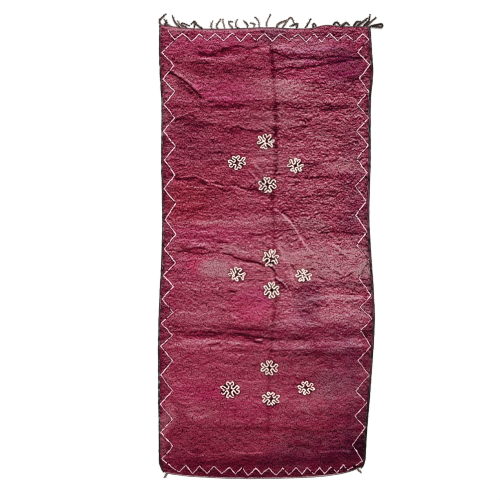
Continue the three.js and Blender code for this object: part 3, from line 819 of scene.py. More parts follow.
BASE = {"dye": 0.47, "magenta": 0.11, "plum": 0.14, "crimson": 0.05, "dust": 0.05}
PATCHES = [
    lot("pale first rows", (-300, 1893), (640, 15), dye=0.19, dust=0.14),
    # Painted shade in the head trough.
    lot("dark crescent", (-420, 1688), (190, 24), turn=5, dye=-0.04),
    # Painted shade below the sharp fold and painted highlight above it.
    lot("dark under the sharp fold", (-680, 1362), (165, 40), turn=-42, dye=-0.06),
    lot("light over the sharp fold", (-560, 1430), (170, 34), turn=-38, dye=0.06),
    # Painted shade in the side trough.
    lot("dark band at the head", (-500, 1597), (150, 26), turn=-6, dye=-0.13),
    lot("pale head corner", (-774, 1878), (100, 32), dye=0.11, dust=0.25),
    lot("plum pot at the head", (42, 1845), (125, 70), dye=-0.06, plum=0.42),
    lot("head, right", (595, 1800), (310, 110), plum=0.1, magenta=0.3),
    lot("head, left", (-500, 1740), (420, 110), dye=0.07, magenta=0.45),
    lot("purple pot", (459, 1666), (430, 90), plum=0.2, magenta=0.1),
    lot("deep purple corner", (731, 1581), (180, 100), dye=-0.04, plum=0.1, magenta=0.25),
    lot("grey streak", (204, 1607), (160, 36), dust=0.24),
    lot("dark under the trough", (-349, 1547), (330, 65), dye=-0.09),
    lot("bright pot, head", (-391, 1360), (330, 120), dye=0.08, magenta=0.75, dust=0.06),
    lot("faded rose, head", (145, 1386), (250, 80), dye=0.17, dust=0.3),
    lot("upper band", (34, 1232), (700, 34), dye=-0.11),
    lot("dark knots, right", (586, 1232), (130, 28), dye=-0.11, plum=0.2),
    lot("dark knots, left", (-493, 1232), (120, 24), dye=-0.1),
    lot("brown left margin", (-705, 1062), (190, 125), dye=-0.11, plum=0.15),
    lot("dusty middle", (51, 1105), (260, 95), dye=0.02, dust=0.22),
    lot("dusty right", (561, 1071), (280, 130), dust=0.12),
    lot("first diamond", (51, 782), (180, 190), dye=0.04, dust=0.2),
    lot("tan streak", (646, 722), (190, 62), dye=0.08, dust=0.34),
    lot("grey knots", (391, 740), (80, 30), dye=-0.08, plum=0.25),
    lot("crimson left", (-689, 416), (170, 170), dye=0.02, crimson=0.2),
    lot("dark middle", (-323, 416), (260, 105), dye=-0.01, dust=0.1),
    lot("pink right", (501, 468), (330, 130), dye=0.03, dust=0.08),
    lot("sunned rows, head right", (330, 1740), (360, 50), dye=0.12),
    lot("sunned, head right", (204, 1390), (170, 70), dye=0.06),
    lot("bright shoulder", (670, 1564), (200, 70), dye=0.03, magenta=0.2),
    lot("upper rows, right", (250, 1250), (480, 120), dye=0.04),
    lot("rows by the first diamond", (400, 810), (450, 110), dye=0.05),
    lot("sunned left", (-260, 370), (280, 110), dye=0.05),
    lot("crimson shoulder, left", (-520, 500), (360, 300), crimson=0.22),
    lot("crimson knots", (-136, 745), (90, 50), dye=0.05, crimson=0.2, dust=-0.1),
    lot("tan knots", (690, 722), (120, 50), crimson=0.3, dye=0.05, dust=0.06),
    lot("bright right", (500, 110), (260, 60), dye=0.07),
    lot("bright rows, left", (-250, -80), (560, 110), dye=0.05),
    lot("hot pot, left", (-561, -68), (110, 120), dye=0.04, magenta=0.25, dust=-0.15),
    lot("crimson by the diamond", (380, -80), (120, 90), dye=-0.03, crimson=0.25),
    lot("dark by the diamond", (250, -300), (250, 90), dye=-0.07),
    lot("hot spot, right", (289, -561), (120, 60), dye=0.07, magenta=0.25),
    # Painted highlight on the cross fold's crest.
    lot("fold light, left", (-600, -795), (280, 50), dye=0.08, dust=-0.1),
    lot("margin, head left", (-858, 1207), (50, 160), dye=0.12, dust=0.2),
    lot("plum, lower right", (480, -1000), (420, 260), dye=-0.04, plum=0.08),
    lot("worn foot, right", (629, -1598), (260, 110), dye=0.05, plum=0.25),
    lot("dark foot, middle", (-221, -1819), (420, 50), dye=-0.06),
    lot("hot foot", (-434, -1215), (110, 60), magenta=0.3, dust=-0.1),
    lot("rows under the cross fold", (629, -858), (170, 70), dye=0.1),
    lot("dark by the right cord", (890, -748), (60, 160), dye=-0.1),
    lot("dusty crescent", (-697, 1394), (110, 90), dust=0.12),
    lot("dusty by the diamond", (714, -272), (150, 50), dust=0.14, dye=0.02),
    lot("clean fold", (-221, -799), (240, 60), dust=-0.15, dye=-0.05),
    lot("dull fold, right", (289, -782), (180, 50), dye=-0.02, dust=0.05),
    lot("dull left", (-561, 527), (240, 80), dye=-0.09),
    lot("dull shoulder", (289, 102), (160, 60), dye=-0.1),
    lot("plum corner", (629, -1725), (240, 60), dye=-0.03, plum=0.2),
    lot("crimson middle", (-136, -510), (180, 90), crimson=0.25),
    lot("crimson in the hot pot", (-561, -68), (120, 110), crimson=0.3),
    lot("sunned left of the diamond", (-349, -110), (130, 60), dye=0.05),
    lot("margin, foot left", (-872, -1520), (60, 240), dye=0.12, dust=0.25),
    lot("sunned first rows", (-50, 1795), (720, 80), dye=0.05, dust=0.07),
    lot("pale shoulder, head left", (-775, 1420), (80, 100), dye=0.13, dust=0.06),
    lot("dark shoulder, head right", (750, 1425), (100, 90), dye=-0.11, plum=0.1),
    lot("faded rows", (210, 1235), (220, 80), dye=0.03, dust=0.16),
    lot("plum margin, upper right", (740, 620), (90, 560), plum=0.22),
    lot("plum margin, lower right", (770, -760), (100, 420), plum=0.18, dye=-0.01),
    lot("plum, below the middle", (330, -700), (420, 160), plum=0.16, dye=-0.01),
    lot("dark rows, middle right", (370, 270), (470, 150), dye=-0.06, dust=-0.06),
    lot("plum rows, upper left", (-560, 858), (260, 110), dye=-0.05, plum=0.14),
    lot("dark margin, left", (-775, -265), (80, 90), dye=-0.08),
    lot("dark margin, foot left", (-765, -1430), (110, 170), dye=-0.08),
    lot("dark corner, foot left", (-710, -1750), (180, 100), dye=-0.1, plum=0.1),
    lot("dark spot, lower right", (550, -1386), (130, 90), dye=-0.06),
    lot("plum end", (250, -1760), (330, 110), plum=0.3, dye=0.01),
    lot("rows under the head, middle", (-150, 1410), (220, 90), dye=0.03, dust=0.05),
    lot("dull rows, left of the diamond", (-330, 850), (120, 80), dye=-0.05),
    lot("dark rows, left middle", (-330, 300), (120, 70), dye=-0.05, dust=-0.04),
    lot("dusty side, right", (740, -270), (90, 80), dye=0.01, dust=0.12),
    lot("dusty rows by the fold", (-110, -820), (130, 70), dye=0.01, dust=0.1),
    lot("plum by the fold", (110, -270), (120, 80), dye=-0.03, plum=0.1),
    lot("dusty head, right", (520, 1800), (330, 90), dye=0.04, dust=0.1),
    lot("dusty shoulder, right", (740, 1235), (100, 90), dye=0.02, dust=0.14),
    lot("dark rows, head middle", (0, 1608), (220, 90), dye=-0.04),
    lot("plum shoulder, right", (650, 1560), (210, 180), magenta=0.1, plum=0.26),
    lot("dark rows under the pot", (-330, 1230), (120, 70), dye=-0.05, dust=-0.04),
    lot("dark rows in the diamond", (-100, 670), (110, 70), dye=-0.06),
    lot("dark rows, right", (640, 490), (190, 80), dye=-0.06),
    lot("dark rows, right middle", (552, 110), (110, 80), dye=-0.05),
    lot("dusty rows by the diamond", (330, -75), (120, 80), dust=0.1),
    lot("dusty rows, lower middle", (130, -950), (330, 130), dust=0.1),
    lot("bright rows, lower middle", (323, -820), (120, 70), dye=0.06),
    lot("plum rows, lower right", (330, -1386), (360, 80), dye=-0.02, plum=0.1),
    lot("dusty rows, foot", (-200, -1570), (420, 90), dust=0.07),
    lot("plum end, middle", (100, -1760), (330, 80), plum=0.15),
    lot("bright first rows", (0, 1790), (1000, 160), magenta=0.3),
    lot("bright rows, right", (400, 1560), (430, 120), magenta=0.35),
    lot("crimson pot, left", (-430, 260), (400, 270), dust=-0.1),
    lot("warm left", (-250, 590), (560, 120), dye=0.04, dust=-0.05),
    lot("dark shoulder", (-200, 1030), (280, 110), dye=-0.05, dust=-0.05),
    lot("dark left, upper", (-700, 800), (180, 110), dye=-0.04),
    lot("under the first diamond", (150, 370), (190, 110), dye=-0.03, dust=-0.1),
    lot("sunned lower middle", (150, -520), (420, 110), dye=0.07),
    lot("sunned third diamond", (-100, -1180), (900, 120), dye=0.04),
    lot("plum side, lower right", (650, -1200), (170, 620), plum=0.18),
    lot("dusty right, middle", (470, 20), (430, 330), dye=0.03, dust=0.08),
    lot("dusty middle diamond", (130, -110), (300, 170), dye=0.07, dust=0.1, crimson=0.12),
    lot("trodden left", (-450, -1500), (420, 230), dye=-0.06),
    lot("trodden right", (300, -950), (560, 160), dye=-0.04),
    lot("sunned middle", (0, -110), (1000, 440), dye=0.08, dust=0.04),
    lot("sunned right", (450, -560), (480, 160), dye=0.08),
    lot("sunned head", (250, 1560), (420, 330), dye=0.04),
    lot("rose band", (-94, 255), (600, 48), dye=0.1, dust=0.2),
    lot("plum knots", (357, 221), (170, 60), dye=-0.04, plum=0.08, dust=0.2),
    lot("plum right", (714, 238), (150, 95), dye=-0.06, plum=0.2),
    lot("bright left", (-493, 136), (330, 80), dye=0.05, magenta=0.42),
    lot("faded right", (544, -17), (380, 90), dye=0.14, dust=0.2),
    lot("grey middle", (-255, 17), (110, 50), dust=0.3),
    lot("magenta left", (-680, -136), (170, 125), dye=0.02, magenta=0.4),
    lot("worn left", (-425, -136), (125, 75), dye=0.1, dust=0.5, crimson=-0.05),
    lot("worn edge, right", (825, -136), (95, 75), dye=0.27, dust=0.7),
    lot("faded right, below", (527, -153), (250, 85), dye=0.08, dust=0.25),
    lot("plum streak", (672, -280), (230, 42), dye=-0.1, plum=0.2),
    lot("purple pot, middle", (357, -416), (130, 190), dye=-0.08, plum=0.3),
    # Painted highlight on the middle crest.
    lot("light streak", (629, -391), (280, 24), dye=0.16, dust=0.2),
    lot("bright pot, middle", (-136, -442), (175, 165), dye=0.06, magenta=0.7),
    lot("crimson edge", (-782, -382), (95, 110), magenta=0.3),
    lot("rose left", (-518, -552), (260, 80), dye=0.03, dust=0.12),
    lot("rose right", (671, -527), (240, 100), dye=0.1, dust=0.15),
    # Painted shade in the cross fold's hollow and painted highlight on its crest.
    lot("dark over the fold", (17, -688), (950, 58), dye=-0.1),
    lot("light under the fold", (17, -790), (950, 32), dye=0.08, dust=-0.05),
    # Painted shade in the lower band's trough, with a plum hue.
    lot("plum under the fold", (586, -875), (340, 58), dye=-0.09, plum=0.08),
    lot("raspberry left", (-476, -935), (380, 100), magenta=0.15),
    lot("mottled right", (527, -1122), (240, 115), dust=0.18, plum=0.15),
    lot("raspberry lower left", (-561, -1173), (240, 100), magenta=0.35, dust=-0.08),
    lot("rose streak", (-578, -1360), (210, 58), dye=0.07, dust=0.12),
    lot("bright pot, foot", (-162, -1352), (200, 120), dye=0.04, magenta=0.45),
    lot("dusty foot", (400, -1300), (260, 65), dye=0.04, dust=0.14, magenta=0.1),
    lot("dark foot", (-9, -1640), (1000, 170), dye=-0.1),
    lot("dark foot, right", (560, -1560), (420, 220), dye=-0.1),
    lot("grey foot", (289, -1615), (260, 90), dust=0.12, plum=0.15),
    lot("wine end", (-9, -1850), (1000, 130), dye=-0.22),
    lot("wine corner", (700, -1800), (240, 200), dye=-0.1, plum=0.1),
    lot("plum edge, foot", (782, -1513), (125, 340), dye=-0.1, plum=0.2),
]
print(len(PATCHES), "patches of dye")

# %% [markdown]
# Finer changes come on top of the patches. The margin outside the zigzag is darker and more plum, the
# first rows under the head are bleached, and the tips differ in tone from streak to streak, most at the
# head and on the right, where they are worn. The very last row is lighter still: pale rows, and partly a
# painted highlight against the shade where the rim slopes down. The streaks and ridges also shape the
# pile's top, so their tones are painted highlight on the crests and painted shade in the furrows, partly
# worn tips. The patches' outlines are bent by noise so none looks round.

# %% Dyes at any spot
MARGIN_DYE = -0.1
MARGIN_PLUM = 0.2
MARGIN_DUST = 0.12
MARGIN_FADES_AT = 150
MARGIN_FADED = 0.6
FIRST_ROWS = 17
FIRST_ROWS_DYE = 0.3
FIRST_ROWS_DUST = 0.2
# The last row: paler wool, and partly a painted highlight against the shade of the sloping rim.
LAST_ROW_PALE_AND_HIGHLIGHT = 0.25
# Streak and ridge tones follow the relief: painted highlight on crests, painted shade in furrows, partly
# worn.
STREAK_WEAR_AND_SHADE = 0.17
RIDGE_PAINTED_SHADE = 0.06
BAND_DYE = 0.12
PATCH_BEND_ACROSS = [(60, 220, 90, 21)]
PATCH_BEND_ALONG = [(22, 130, 60, 22), (9, 50, 26, 23)]
DUST_LAYERS = [(0.1, 48, 30, 26)]
MAGENTA_LAYERS = [(0.1, 90, 50, 27)]
STROKE_BREAKS = [(0.35, 46, 30, 29)]
PATCH_CORE = 0.55
PATCH_FADE = 0.75
CONTRAST_FROM = -1750
CONTRAST_OVER = 2100
FOOT_CONTRAST = 0.52
HEAD_CONTRAST_MORE = 0.48
RIGHT_CONTRAST_MORE = 0.26
SMOOTH_CONTRAST_LESS = 0.32
SMOOTH_PLACES = [
    lot("deep purple shoulder", (680, 1600), (240, 150)),
    lot("foot end", (300, -1760), (700, 110)),
]
SHADE_MARGIN = 38


def inside_border(x, y):
    """True where a spot lies inside the zigzag, by counting the border's steps to its right."""
    crossings = np.zeros(np.shape(x), int)
    for (ax, ay), (bx, by) in zip(border, np.roll(border, -1, axis=0)):
        between = (ay > y) != (by > y)
        meets = ax + (y - ay) * (bx - ax) / np.where(by == ay, 1, by - ay)
        crossings += between & (x < meets)
    return crossings % 2 == 1


def patch_strength(patch, x, y):
    """1 in the middle of a patch, easing to 0 past its half size."""
    turn = math.radians(patch["turn"])
    dx, dy = x - patch["at"][0], y - patch["at"][1]
    along = (dx * math.cos(turn) + dy * math.sin(turn)) / patch["half"][0]
    across = (dy * math.cos(turn) - dx * math.sin(turn)) / patch["half"][1]
    return 1 - smooth((np.hypot(along, across) - PATCH_CORE) / PATCH_FADE)


def contrast_at(x, y):
    """Strength of tip tones and painted relief shading: most at the head and right, worn and faded."""
    calm = sum(patch_strength(place, x, y) for place in SMOOTH_PLACES)
    worn = FOOT_CONTRAST + HEAD_CONTRAST_MORE * smooth((y - CONTRAST_FROM) / CONTRAST_OVER)
    return worn * (1 + RIGHT_CONTRAST_MORE * right_side(x, y)) * (1 - SMOOTH_CONTRAST_LESS * calm)


def right_side(x, y):
    """1 on the right and in the upper two thirds of the rug, easing to 0 elsewhere."""
    return smooth((x + 150) / 450) * smooth((y + 1000) / 800)


def dyes_at(x, y):
    """Five dye values at each spot: base, patches, margins, chance, and the relief's painted shading."""
    bent_x = layered(x, x, y, PATCH_BEND_ACROSS)
    bent_y = layered(y, x, y, PATCH_BEND_ALONG)
    values = {name: np.full(np.shape(x), share) for name, share in BASE.items()}
    for patch in PATCHES:
        strength = patch_strength(patch, bent_x, bent_y)
        for name in BASE:
            values[name] += patch.get(name, 0) * strength
    margin = np.where(inside_border(x, y), 0, 1) * np.where(y < MARGIN_FADES_AT, 1, MARGIN_FADED)
    values["dye"] += MARGIN_DYE * margin
    values["plum"] += MARGIN_PLUM * margin
    values["dust"] += MARGIN_DUST * margin * (x > 0)
    from_head = head_room(x, y)
    first_rows = (1 - smooth((from_head - FIRST_ROWS) / FIRST_ROWS)) * (1 - 0.75 * smooth((x - 50) / 400))
    # The last row is lightened: pale wool and partly painted highlight against the rim's shade.
    values["dye"] += FIRST_ROWS_DYE * first_rows + LAST_ROW_PALE_AND_HIGHLIGHT * (1 - smooth(from_head / FIRST_ROWS))
    values["dust"] += FIRST_ROWS_DUST * first_rows
    contrast = contrast_at(x, y)
    # Streaks and ridges: painted highlight on crests and painted shade in furrows; the weft bands are dye.
    fine = STREAK_WEAR_AND_SHADE * streaks_at(x, y) + RIDGE_PAINTED_SHADE * ridges(x, y) + BAND_DYE * weft_bands(x, y)
    values["dye"] += contrast * fine
    values["dust"] += layered(0, x, y, DUST_LAYERS) * (1 + (x > 0))
    values["magenta"] += layered(0, x, y, MAGENTA_LAYERS)
    values["contrast"] = contrast * (0.88 + 0.24 * right_side(x, y))
    return values


def painted_stroke_shading(x, y):
    """Painted shade and highlight from the creases and strokes, as dye, a little broken along their length.
    """
    return read_map(painted_crease_shading, x, y) * layered(1, x, y, STROKE_BREAKS)


def edge_shade(x, y):
    """Soot between the knots along the two sides, in uneven spots beside the dark cords."""
    near = 1 - smooth(side_room(x, y) / SHADE_MARGIN)
    return np.clip(0.55 * near * (0.7 + 1.3 * clouds(x, y, 22, 16, 28)), 0, 0.8)


print("contrast from", contrast_at(0, -1900).round(2), "at the foot to", contrast_at(400, 1200).round(2))

# %% [markdown]
# Dyed wool yarn: soft, matt and a little fuzzy, so it has a high roughness and a pale sheen at its edges.
# The dye sits deepest near the knots, and the tips have faded, so each lock is darker at its root.
# That darkening is partly painted shade, as less light reaches deep into the pile.
# The dye values come as attributes on the mesh, and the nodes turn them into colour, so a learner can
# repaint the rug here without touching its shape. Magenta, plum and crimson are filters over the dye, so
# they keep its darks, and dust lies on pale tips. Real fibres of 0.03 mm and single tips of 3 mm are too
# fine to show, so a lock has five broad fibres, and the tips are drawn as streaks of 31 by 14 mm.

# %% Pieces of wool shading
WOOL_IOR = 1.55
FIBRE_MM = 0.6
FIBRES_IN_LOCK = (5.0, 0.9)
STREAK_MM = (31, 14)
STREAK_BEND_MM = (120, 60)
STREAK_SHIFT = 0.9
STREAK_TONE = 0.82
COVER = {"data_type": "RGBA", "blend_type": "MIX", "clamp_factor": True}
FILTER = {"data_type": "RGBA", "blend_type": "MULTIPLY", "clamp_factor": True}


def fibres(tree, locks_across):
    """Fine lengthwise streaks along each lock, from 0 to 1. The map has locks_across cells a side."""
    place = add_node(tree, "ShaderNodeUVMap", {"uv_map": "OFBake"})
    stretch = add_node(tree, "ShaderNodeMapping", inputs={
        "Vector": place.outputs["UV"],
        "Scale": (locks_across * FIBRES_IN_LOCK[0], locks_across * FIBRES_IN_LOCK[1], 1)})
    noise = add_node(tree, "ShaderNodeTexNoise", inputs={
        "Vector": stretch.outputs["Vector"], "Scale": 1.0, "Detail": 2.0, "Roughness": 0.6})
    return noise.outputs["Fac"]


def wool_surface(tree, colour, height, sheen, sheen_hex):
    """A matt, fuzzy surface of that colour, with the fibres as fine relief."""
    relief = add_node(tree, "ShaderNodeBump", inputs={
        "Strength": 0.35, "Distance": FIBRE_MM * MM, "Height": height})
    wool = add_node(tree, "ShaderNodeBsdfPrincipled", inputs={
        "Base Color": colour, "Roughness": 0.92, "IOR": WOOL_IOR, "Specular IOR Level": 0.03,
        "Sheen Weight": sheen, "Sheen Roughness": 0.45, "Sheen Tint": linear(sheen_hex),
        "Normal": relief.outputs["Normal"]})
    add_node(tree, "ShaderNodeOutputMaterial", inputs={"Surface": wool.outputs["BSDF"]})


def tinted(tree, colour, name, hex_colour, how=COVER):
    """The colour mixed with another, as much as the value of that name on the mesh says.

    A colour mix takes its share, first and second colour at sockets 0, 6 and 7, and gives its result at 2.
    """
    amount = add_node(tree, "ShaderNodeAttribute", {"attribute_name": name})
    inputs = {0: amount.outputs["Fac"], 6: colour, 7: linear(hex_colour)}
    return add_node(tree, "ShaderNodeMix", how, inputs).outputs[2]


def toned(tree, colour, amount, stops):
    """The colour seen through a ramp of tones that follows an amount from 0 to 1."""
    tones = add_node(tree, "ShaderNodeValToRGB", inputs={"Fac": amount}, stops=stops)
    inputs = {0: 1.0, 6: colour, 7: tones.outputs["Color"]}
    return add_node(tree, "ShaderNodeMix", FILTER, inputs).outputs[2]


def matted_streaks(tree):
    """Fine wavy streaks of darker and paler tips across the rug, around 0.

    Noise also has slow changes, which would show as blotches, so its copy one stroke further down is taken
    off: that leaves only what changes from stroke to stroke.
    """
    place = add_node(tree, "ShaderNodeTexCoord").outputs["Object"]
    bend = add_node(tree, "ShaderNodeTexNoise", {"noise_dimensions": "2D"}, {
        "Vector": place, "Scale": 1000 / STREAK_BEND_MM[0], "Detail": 1.0})
    bent = add_node(tree, "ShaderNodeVectorMath", {"operation": "MULTIPLY_ADD"}, {
        0: bend.outputs["Color"], 1: (0, STREAK_BEND_MM[1] * MM, 0), 2: place})
    copies = {}
    for index, shift in enumerate((0, STREAK_SHIFT)):
        stretch = add_node(tree, "ShaderNodeMapping", inputs={
            "Vector": bent.outputs["Vector"], "Scale": (1000 / STREAK_MM[0], 1000 / STREAK_MM[1], 1),
            "Location": (0, shift, 0)})
        noise = add_node(tree, "ShaderNodeTexNoise", {"noise_dimensions": "2D"}, {
            "Vector": stretch.outputs["Vector"], "Scale": 1.0, "Detail": 1.0, "Roughness": 1.0})
        copies[index] = noise.outputs["Fac"]
    return add_node(tree, "ShaderNodeMath", {"operation": "SUBTRACT"}, copies).outputs["Value"]


print("streaks of tips are", STREAK_MM[0], "by", STREAK_MM[1], "mm")

# %% Hand-dyed pile wool
DYE_STOPS = [(0.0, "#48081E"), (1.0, "#FFC4D0"), (0.25, "#871738"), (0.5, "#BC4262"), (0.75, "#E2829A")]
DYE_FILTERS = {"magenta": "#FFA6EC", "plum": "#95D6E3", "crimson": "#FFB8A4"}
# Darker towards the root: faded tips, and painted shade deep in the pile.
ROOT_FADE_AND_SHADE_STOPS = [(0.0, "#92767C"), (1.0, "#FFFFFF"), (0.4, "#EDE2E4")]
PALE_TIPS = (1.8, -0.2)
PILE_CELLS = 124


def dye_amount(tree):
    """How light the dye is, from 0 to 1: the mesh's own value with the streaks of tips over it."""
    dye = add_node(tree, "ShaderNodeAttribute", {"attribute_name": "dye"})
    contrast = add_node(tree, "ShaderNodeAttribute", {"attribute_name": "contrast"})
    strength = add_node(tree, "ShaderNodeMath", {"operation": "MULTIPLY"}, {
        0: contrast.outputs["Fac"], 1: STREAK_TONE})
    return add_node(tree, "ShaderNodeMath", {"operation": "MULTIPLY_ADD"}, {
        0: matted_streaks(tree), 1: strength.outputs["Value"], 2: dye.outputs["Fac"]}).outputs["Value"]


def madder_wool():
    """Pile wool dyes: wine to faded rose, to magenta, plum, crimson, dust and soot, partly painted shade."""
    material, tree = new_material("hand-dyed pile wool")
    amount = dye_amount(tree)
    dye = add_node(tree, "ShaderNodeValToRGB", inputs={"Fac": amount}, stops=DYE_STOPS)
    colour = dye.outputs["Color"]
    for name, filter_hex in DYE_FILTERS.items():
        colour = tinted(tree, colour, name, filter_hex, FILTER)
    paleness = add_node(tree, "ShaderNodeMath", {"operation": "MULTIPLY_ADD"}, {
        0: amount, 1: PALE_TIPS[0], 2: PALE_TIPS[1]})
    dust = add_node(tree, "ShaderNodeAttribute", {"attribute_name": "dust"})
    dusted = add_node(tree, "ShaderNodeMath", {"operation": "MULTIPLY", "use_clamp": True}, {
        0: paleness.outputs["Value"], 1: dust.outputs["Fac"]})
    colour = add_node(tree, "ShaderNodeMix", COVER, {
        0: dusted.outputs["Value"], 6: colour, 7: linear("#C8949C")}).outputs[2]
    # Soot for dark knots and painted shade on the ground's top; then roots darkened, partly painted shade.
    colour = tinted(tree, colour, "shade", "#180606")
    along = add_node(tree, "ShaderNodeAttribute", {"attribute_name": "along"})
    colour = toned(tree, colour, along.outputs["Fac"], ROOT_FADE_AND_SHADE_STOPS)
    streaks = fibres(tree, PILE_CELLS)
    colour = toned(tree, colour, streaks, [(0.3, "#DCDCDC"), (0.7, "#FFFFFF")])
    wool_surface(tree, colour, streaks, 0.08, "#E890A8")
    return material


pile_wool = madder_wool()
print("pile wool has", len(pile_wool.node_tree.nodes), "nodes")

# %% [markdown]
# The zigzag and the rosettes are undyed wool. The red has bled into it over the years, most at the roots,
# and feet have soiled it, so it reads as shell pink and not as white. The border's wool took up more of
# the red than the rosettes' did. Its sheen is stronger, because undyed wool keeps its grease.

# %% Undyed wool
ROSETTE_CELLS = 54
ZIGZAG_CELLS = 66


def undyed_wool(name, root_hex, tip_hex, soiled_hex, locks_across):
    """Pale wool that the red has stained, most at the roots, and that is soiled where dust says so."""
    material, tree = new_material(name)
    along = add_node(tree, "ShaderNodeAttribute", {"attribute_name": "along"})
    stained = add_node(tree, "ShaderNodeValToRGB", inputs={"Fac": along.outputs["Fac"]}, stops=[
        (0.0, root_hex), (1.0, tip_hex), (0.45, tip_hex)])
    colour = tinted(tree, stained.outputs["Color"], "dust", soiled_hex)
    streaks = fibres(tree, locks_across)
    colour = toned(tree, colour, streaks, [(0.3, "#F2F2F2"), (0.7, "#FFFFFF")])
    wool_surface(tree, colour, streaks, 0.3, "#FFF4EC")
    return material


rosette_wool = undyed_wool("undyed rosette wool", "#FFCCC2", "#FFEAE2", "#F09CA6", ROSETTE_CELLS)
zigzag_wool = undyed_wool("undyed border wool", "#FFA4BC", "#FFCCDC", "#CC8296", ZIGZAG_CELLS)
print("materials:", [m.name for m in bpy.data.materials])

# %% [markdown]
# Every piece is one mesh made from arrays, which is quick even for a hundred thousand faces. make_piece
# fills a mesh from corners in mm and triangles, stores the values that the material reads, and
# hangs the piece on the rug's body.

# %% A piece from arrays


def make_piece(name, corners, faces, material, stands_for, values=None, uv=None):
    """One mesh piece. corners are in mm, faces are triangles, values are numbers for each corner."""
    mesh = bpy.data.meshes.new(name)
    mesh.vertices.add(len(corners))
    mesh.vertices.foreach_set("co", (corners * MM).astype(np.float32).ravel())
    mesh.loops.add(faces.size)
    mesh.loops.foreach_set("vertex_index", faces.astype(np.int32).ravel())
    mesh.polygons.add(len(faces))
    mesh.polygons.foreach_set("loop_start", np.arange(0, faces.size, 3, dtype=np.int32))
    mesh.update(calc_edges=True)
    mesh.shade_smooth()
    for key, numbers in (values or {}).items():
        layer = mesh.attributes.new(key, "FLOAT", "POINT")
        layer.data.foreach_set("value", numbers.astype(np.float32).ravel())
    if uv is not None:
        layer = mesh.uv_layers.new(name="OFBake")
        layer.uv.foreach_set("vector", uv[faces].astype(np.float32).ravel())
    mesh.materials.append(material)
    piece = bpy.data.objects.new(name, mesh)
    bpy.context.scene.collection.objects.link(piece)
    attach(piece, "root")
    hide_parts(*stands_for)
    print(f"{name}: {len(faces)} triangles")
    return piece


# %% [markdown]
# Under the pile lies the ground weave with the feet of the knots packed into it. It only shows in
# partings and from below, so it is one lumpy sheet with a flat back, a little lower than the pile's top.
# Its top is darker and sootier than the pile, as painted shade in the partings, and the material darkens
# it further as lock roots, also painted shade.

# %% Ground weave
GROUND_COLUMNS = 96
GROUND_ROWS = 200
PILE_DEPTH = 8.0
GROUND_LEAST = 2.5
# Painted shade: the ground's top is darker and sootier, as the partings it shows through lie in shade.
GROUND_SHADE = 0.12
GROUND_PAINTED_SHADE = 0.15


def ground_top(x, y):
    """Height in mm of the ground weave under the pile, which is never thinner than its least."""
    return np.maximum(pile_top(x, y) - PILE_DEPTH, GROUND_LEAST)


def grid_faces(columns, rows):
    """Triangles of a grid of corners that are numbered along the columns first, facing up."""
    i, j = np.meshgrid(np.arange(columns - 1), np.arange(rows - 1), indexing="ij")
    a = (i * rows + j).ravel()
    b, c, d = a + rows, a + rows + 1, a + 1
    return np.concatenate([np.stack([a, b, c], 1), np.stack([a, c, d], 1)])


def ground_weave():
    """The sheet under the pile: a lumpy top, a flat back and a rim that joins them."""
    u, v = np.meshgrid(np.linspace(0, 1, GROUND_COLUMNS), np.linspace(0, 1, GROUND_ROWS), indexing="ij")
    x, y = across_outline(u.ravel(), v.ravel())
    top = np.stack([x, y, ground_top(x, y)], axis=1)
    back = np.stack([x, y, np.zeros_like(x)], axis=1)
    count = len(top)
    faces = grid_faces(GROUND_COLUMNS, GROUND_ROWS)
    number = np.arange(count).reshape(GROUND_COLUMNS, GROUND_ROWS)
    rim = np.concatenate([number[:, 0], number[-1, 1:], number[-2::-1, -1], number[0, -2:0:-1]])
    ahead = np.roll(rim, -1)
    walls = np.concatenate([
        np.stack([rim, rim + count, ahead + count], 1), np.stack([rim, ahead + count, ahead], 1)])
    values = dyes_at(np.tile(x, 2), np.tile(y, 2))
    # Painted shade and highlight of the creases and strokes, added to the dye.
    values["dye"] += painted_stroke_shading(np.tile(x, 2), np.tile(y, 2))
    # The top is darkened as painted shade and counted as lock roots, which the material shades too.
    values["dye"][:count] -= GROUND_PAINTED_SHADE
    values["shade"] = np.concatenate([np.maximum(edge_shade(x, y), GROUND_SHADE), np.zeros(count)])
    values["along"] = np.concatenate([np.full(count, 0.1), np.full(count, 0.8)])
    halves = [np.stack([u.ravel() * 0.49 + left, v.ravel() * 0.98 + 0.01], 1) for left in (0, 0.505)]
    all_faces = np.concatenate([faces, faces[:, ::-1] + count, walls])
    corners = np.concatenate([top, back])
    return make_piece("ground_weave", corners, all_faces, pile_wool, ["pile_field"], values,
                      np.concatenate(halves))


ground = ground_weave()

# %% [markdown]
# The pile itself is about seventy thousand locks. A lock is a leaf of wool: it leaves its knot as a point,
# swells, lies down to the foot over its neighbours and thins to a tip. Hair particles could do this, but
# leaves made from arrays keep their shape in every export. lay_locks makes any number of them at once,
# and each lock has its own cell in the UV map, so its colour can be baked.

# %% How a lock lies
STATIONS = np.array([0.0, 0.34, 0.74, 1.0])
FULLNESS = np.array([0.0, 1.0, 0.72, 0.0])
LOCK_CORNERS = [(0, 0), (1, -1), (1, 0), (1, 1), (2, -1), (2, 0), (2, 1), (3, 0)]
LOCK_FACES = np.array([
    [0, 1, 2], [0, 2, 3], [1, 4, 5], [1, 5, 2], [2, 5, 6], [2, 6, 3], [4, 7, 5], [5, 7, 6],
])
LOCK_BULGE = 0.3
ROOT_DEPTH = 1.0
FLOOR_ROOM = 0.8
TIP_DROP = 0.6
CELL_MARGIN = 0.08


def on_lock(x, y, heading, length, share):
    """The spot at a share of a lock's length from x, y. heading 0 points to the foot."""
    return x + np.sin(heading) * length * share, y - np.cos(heading) * length * share


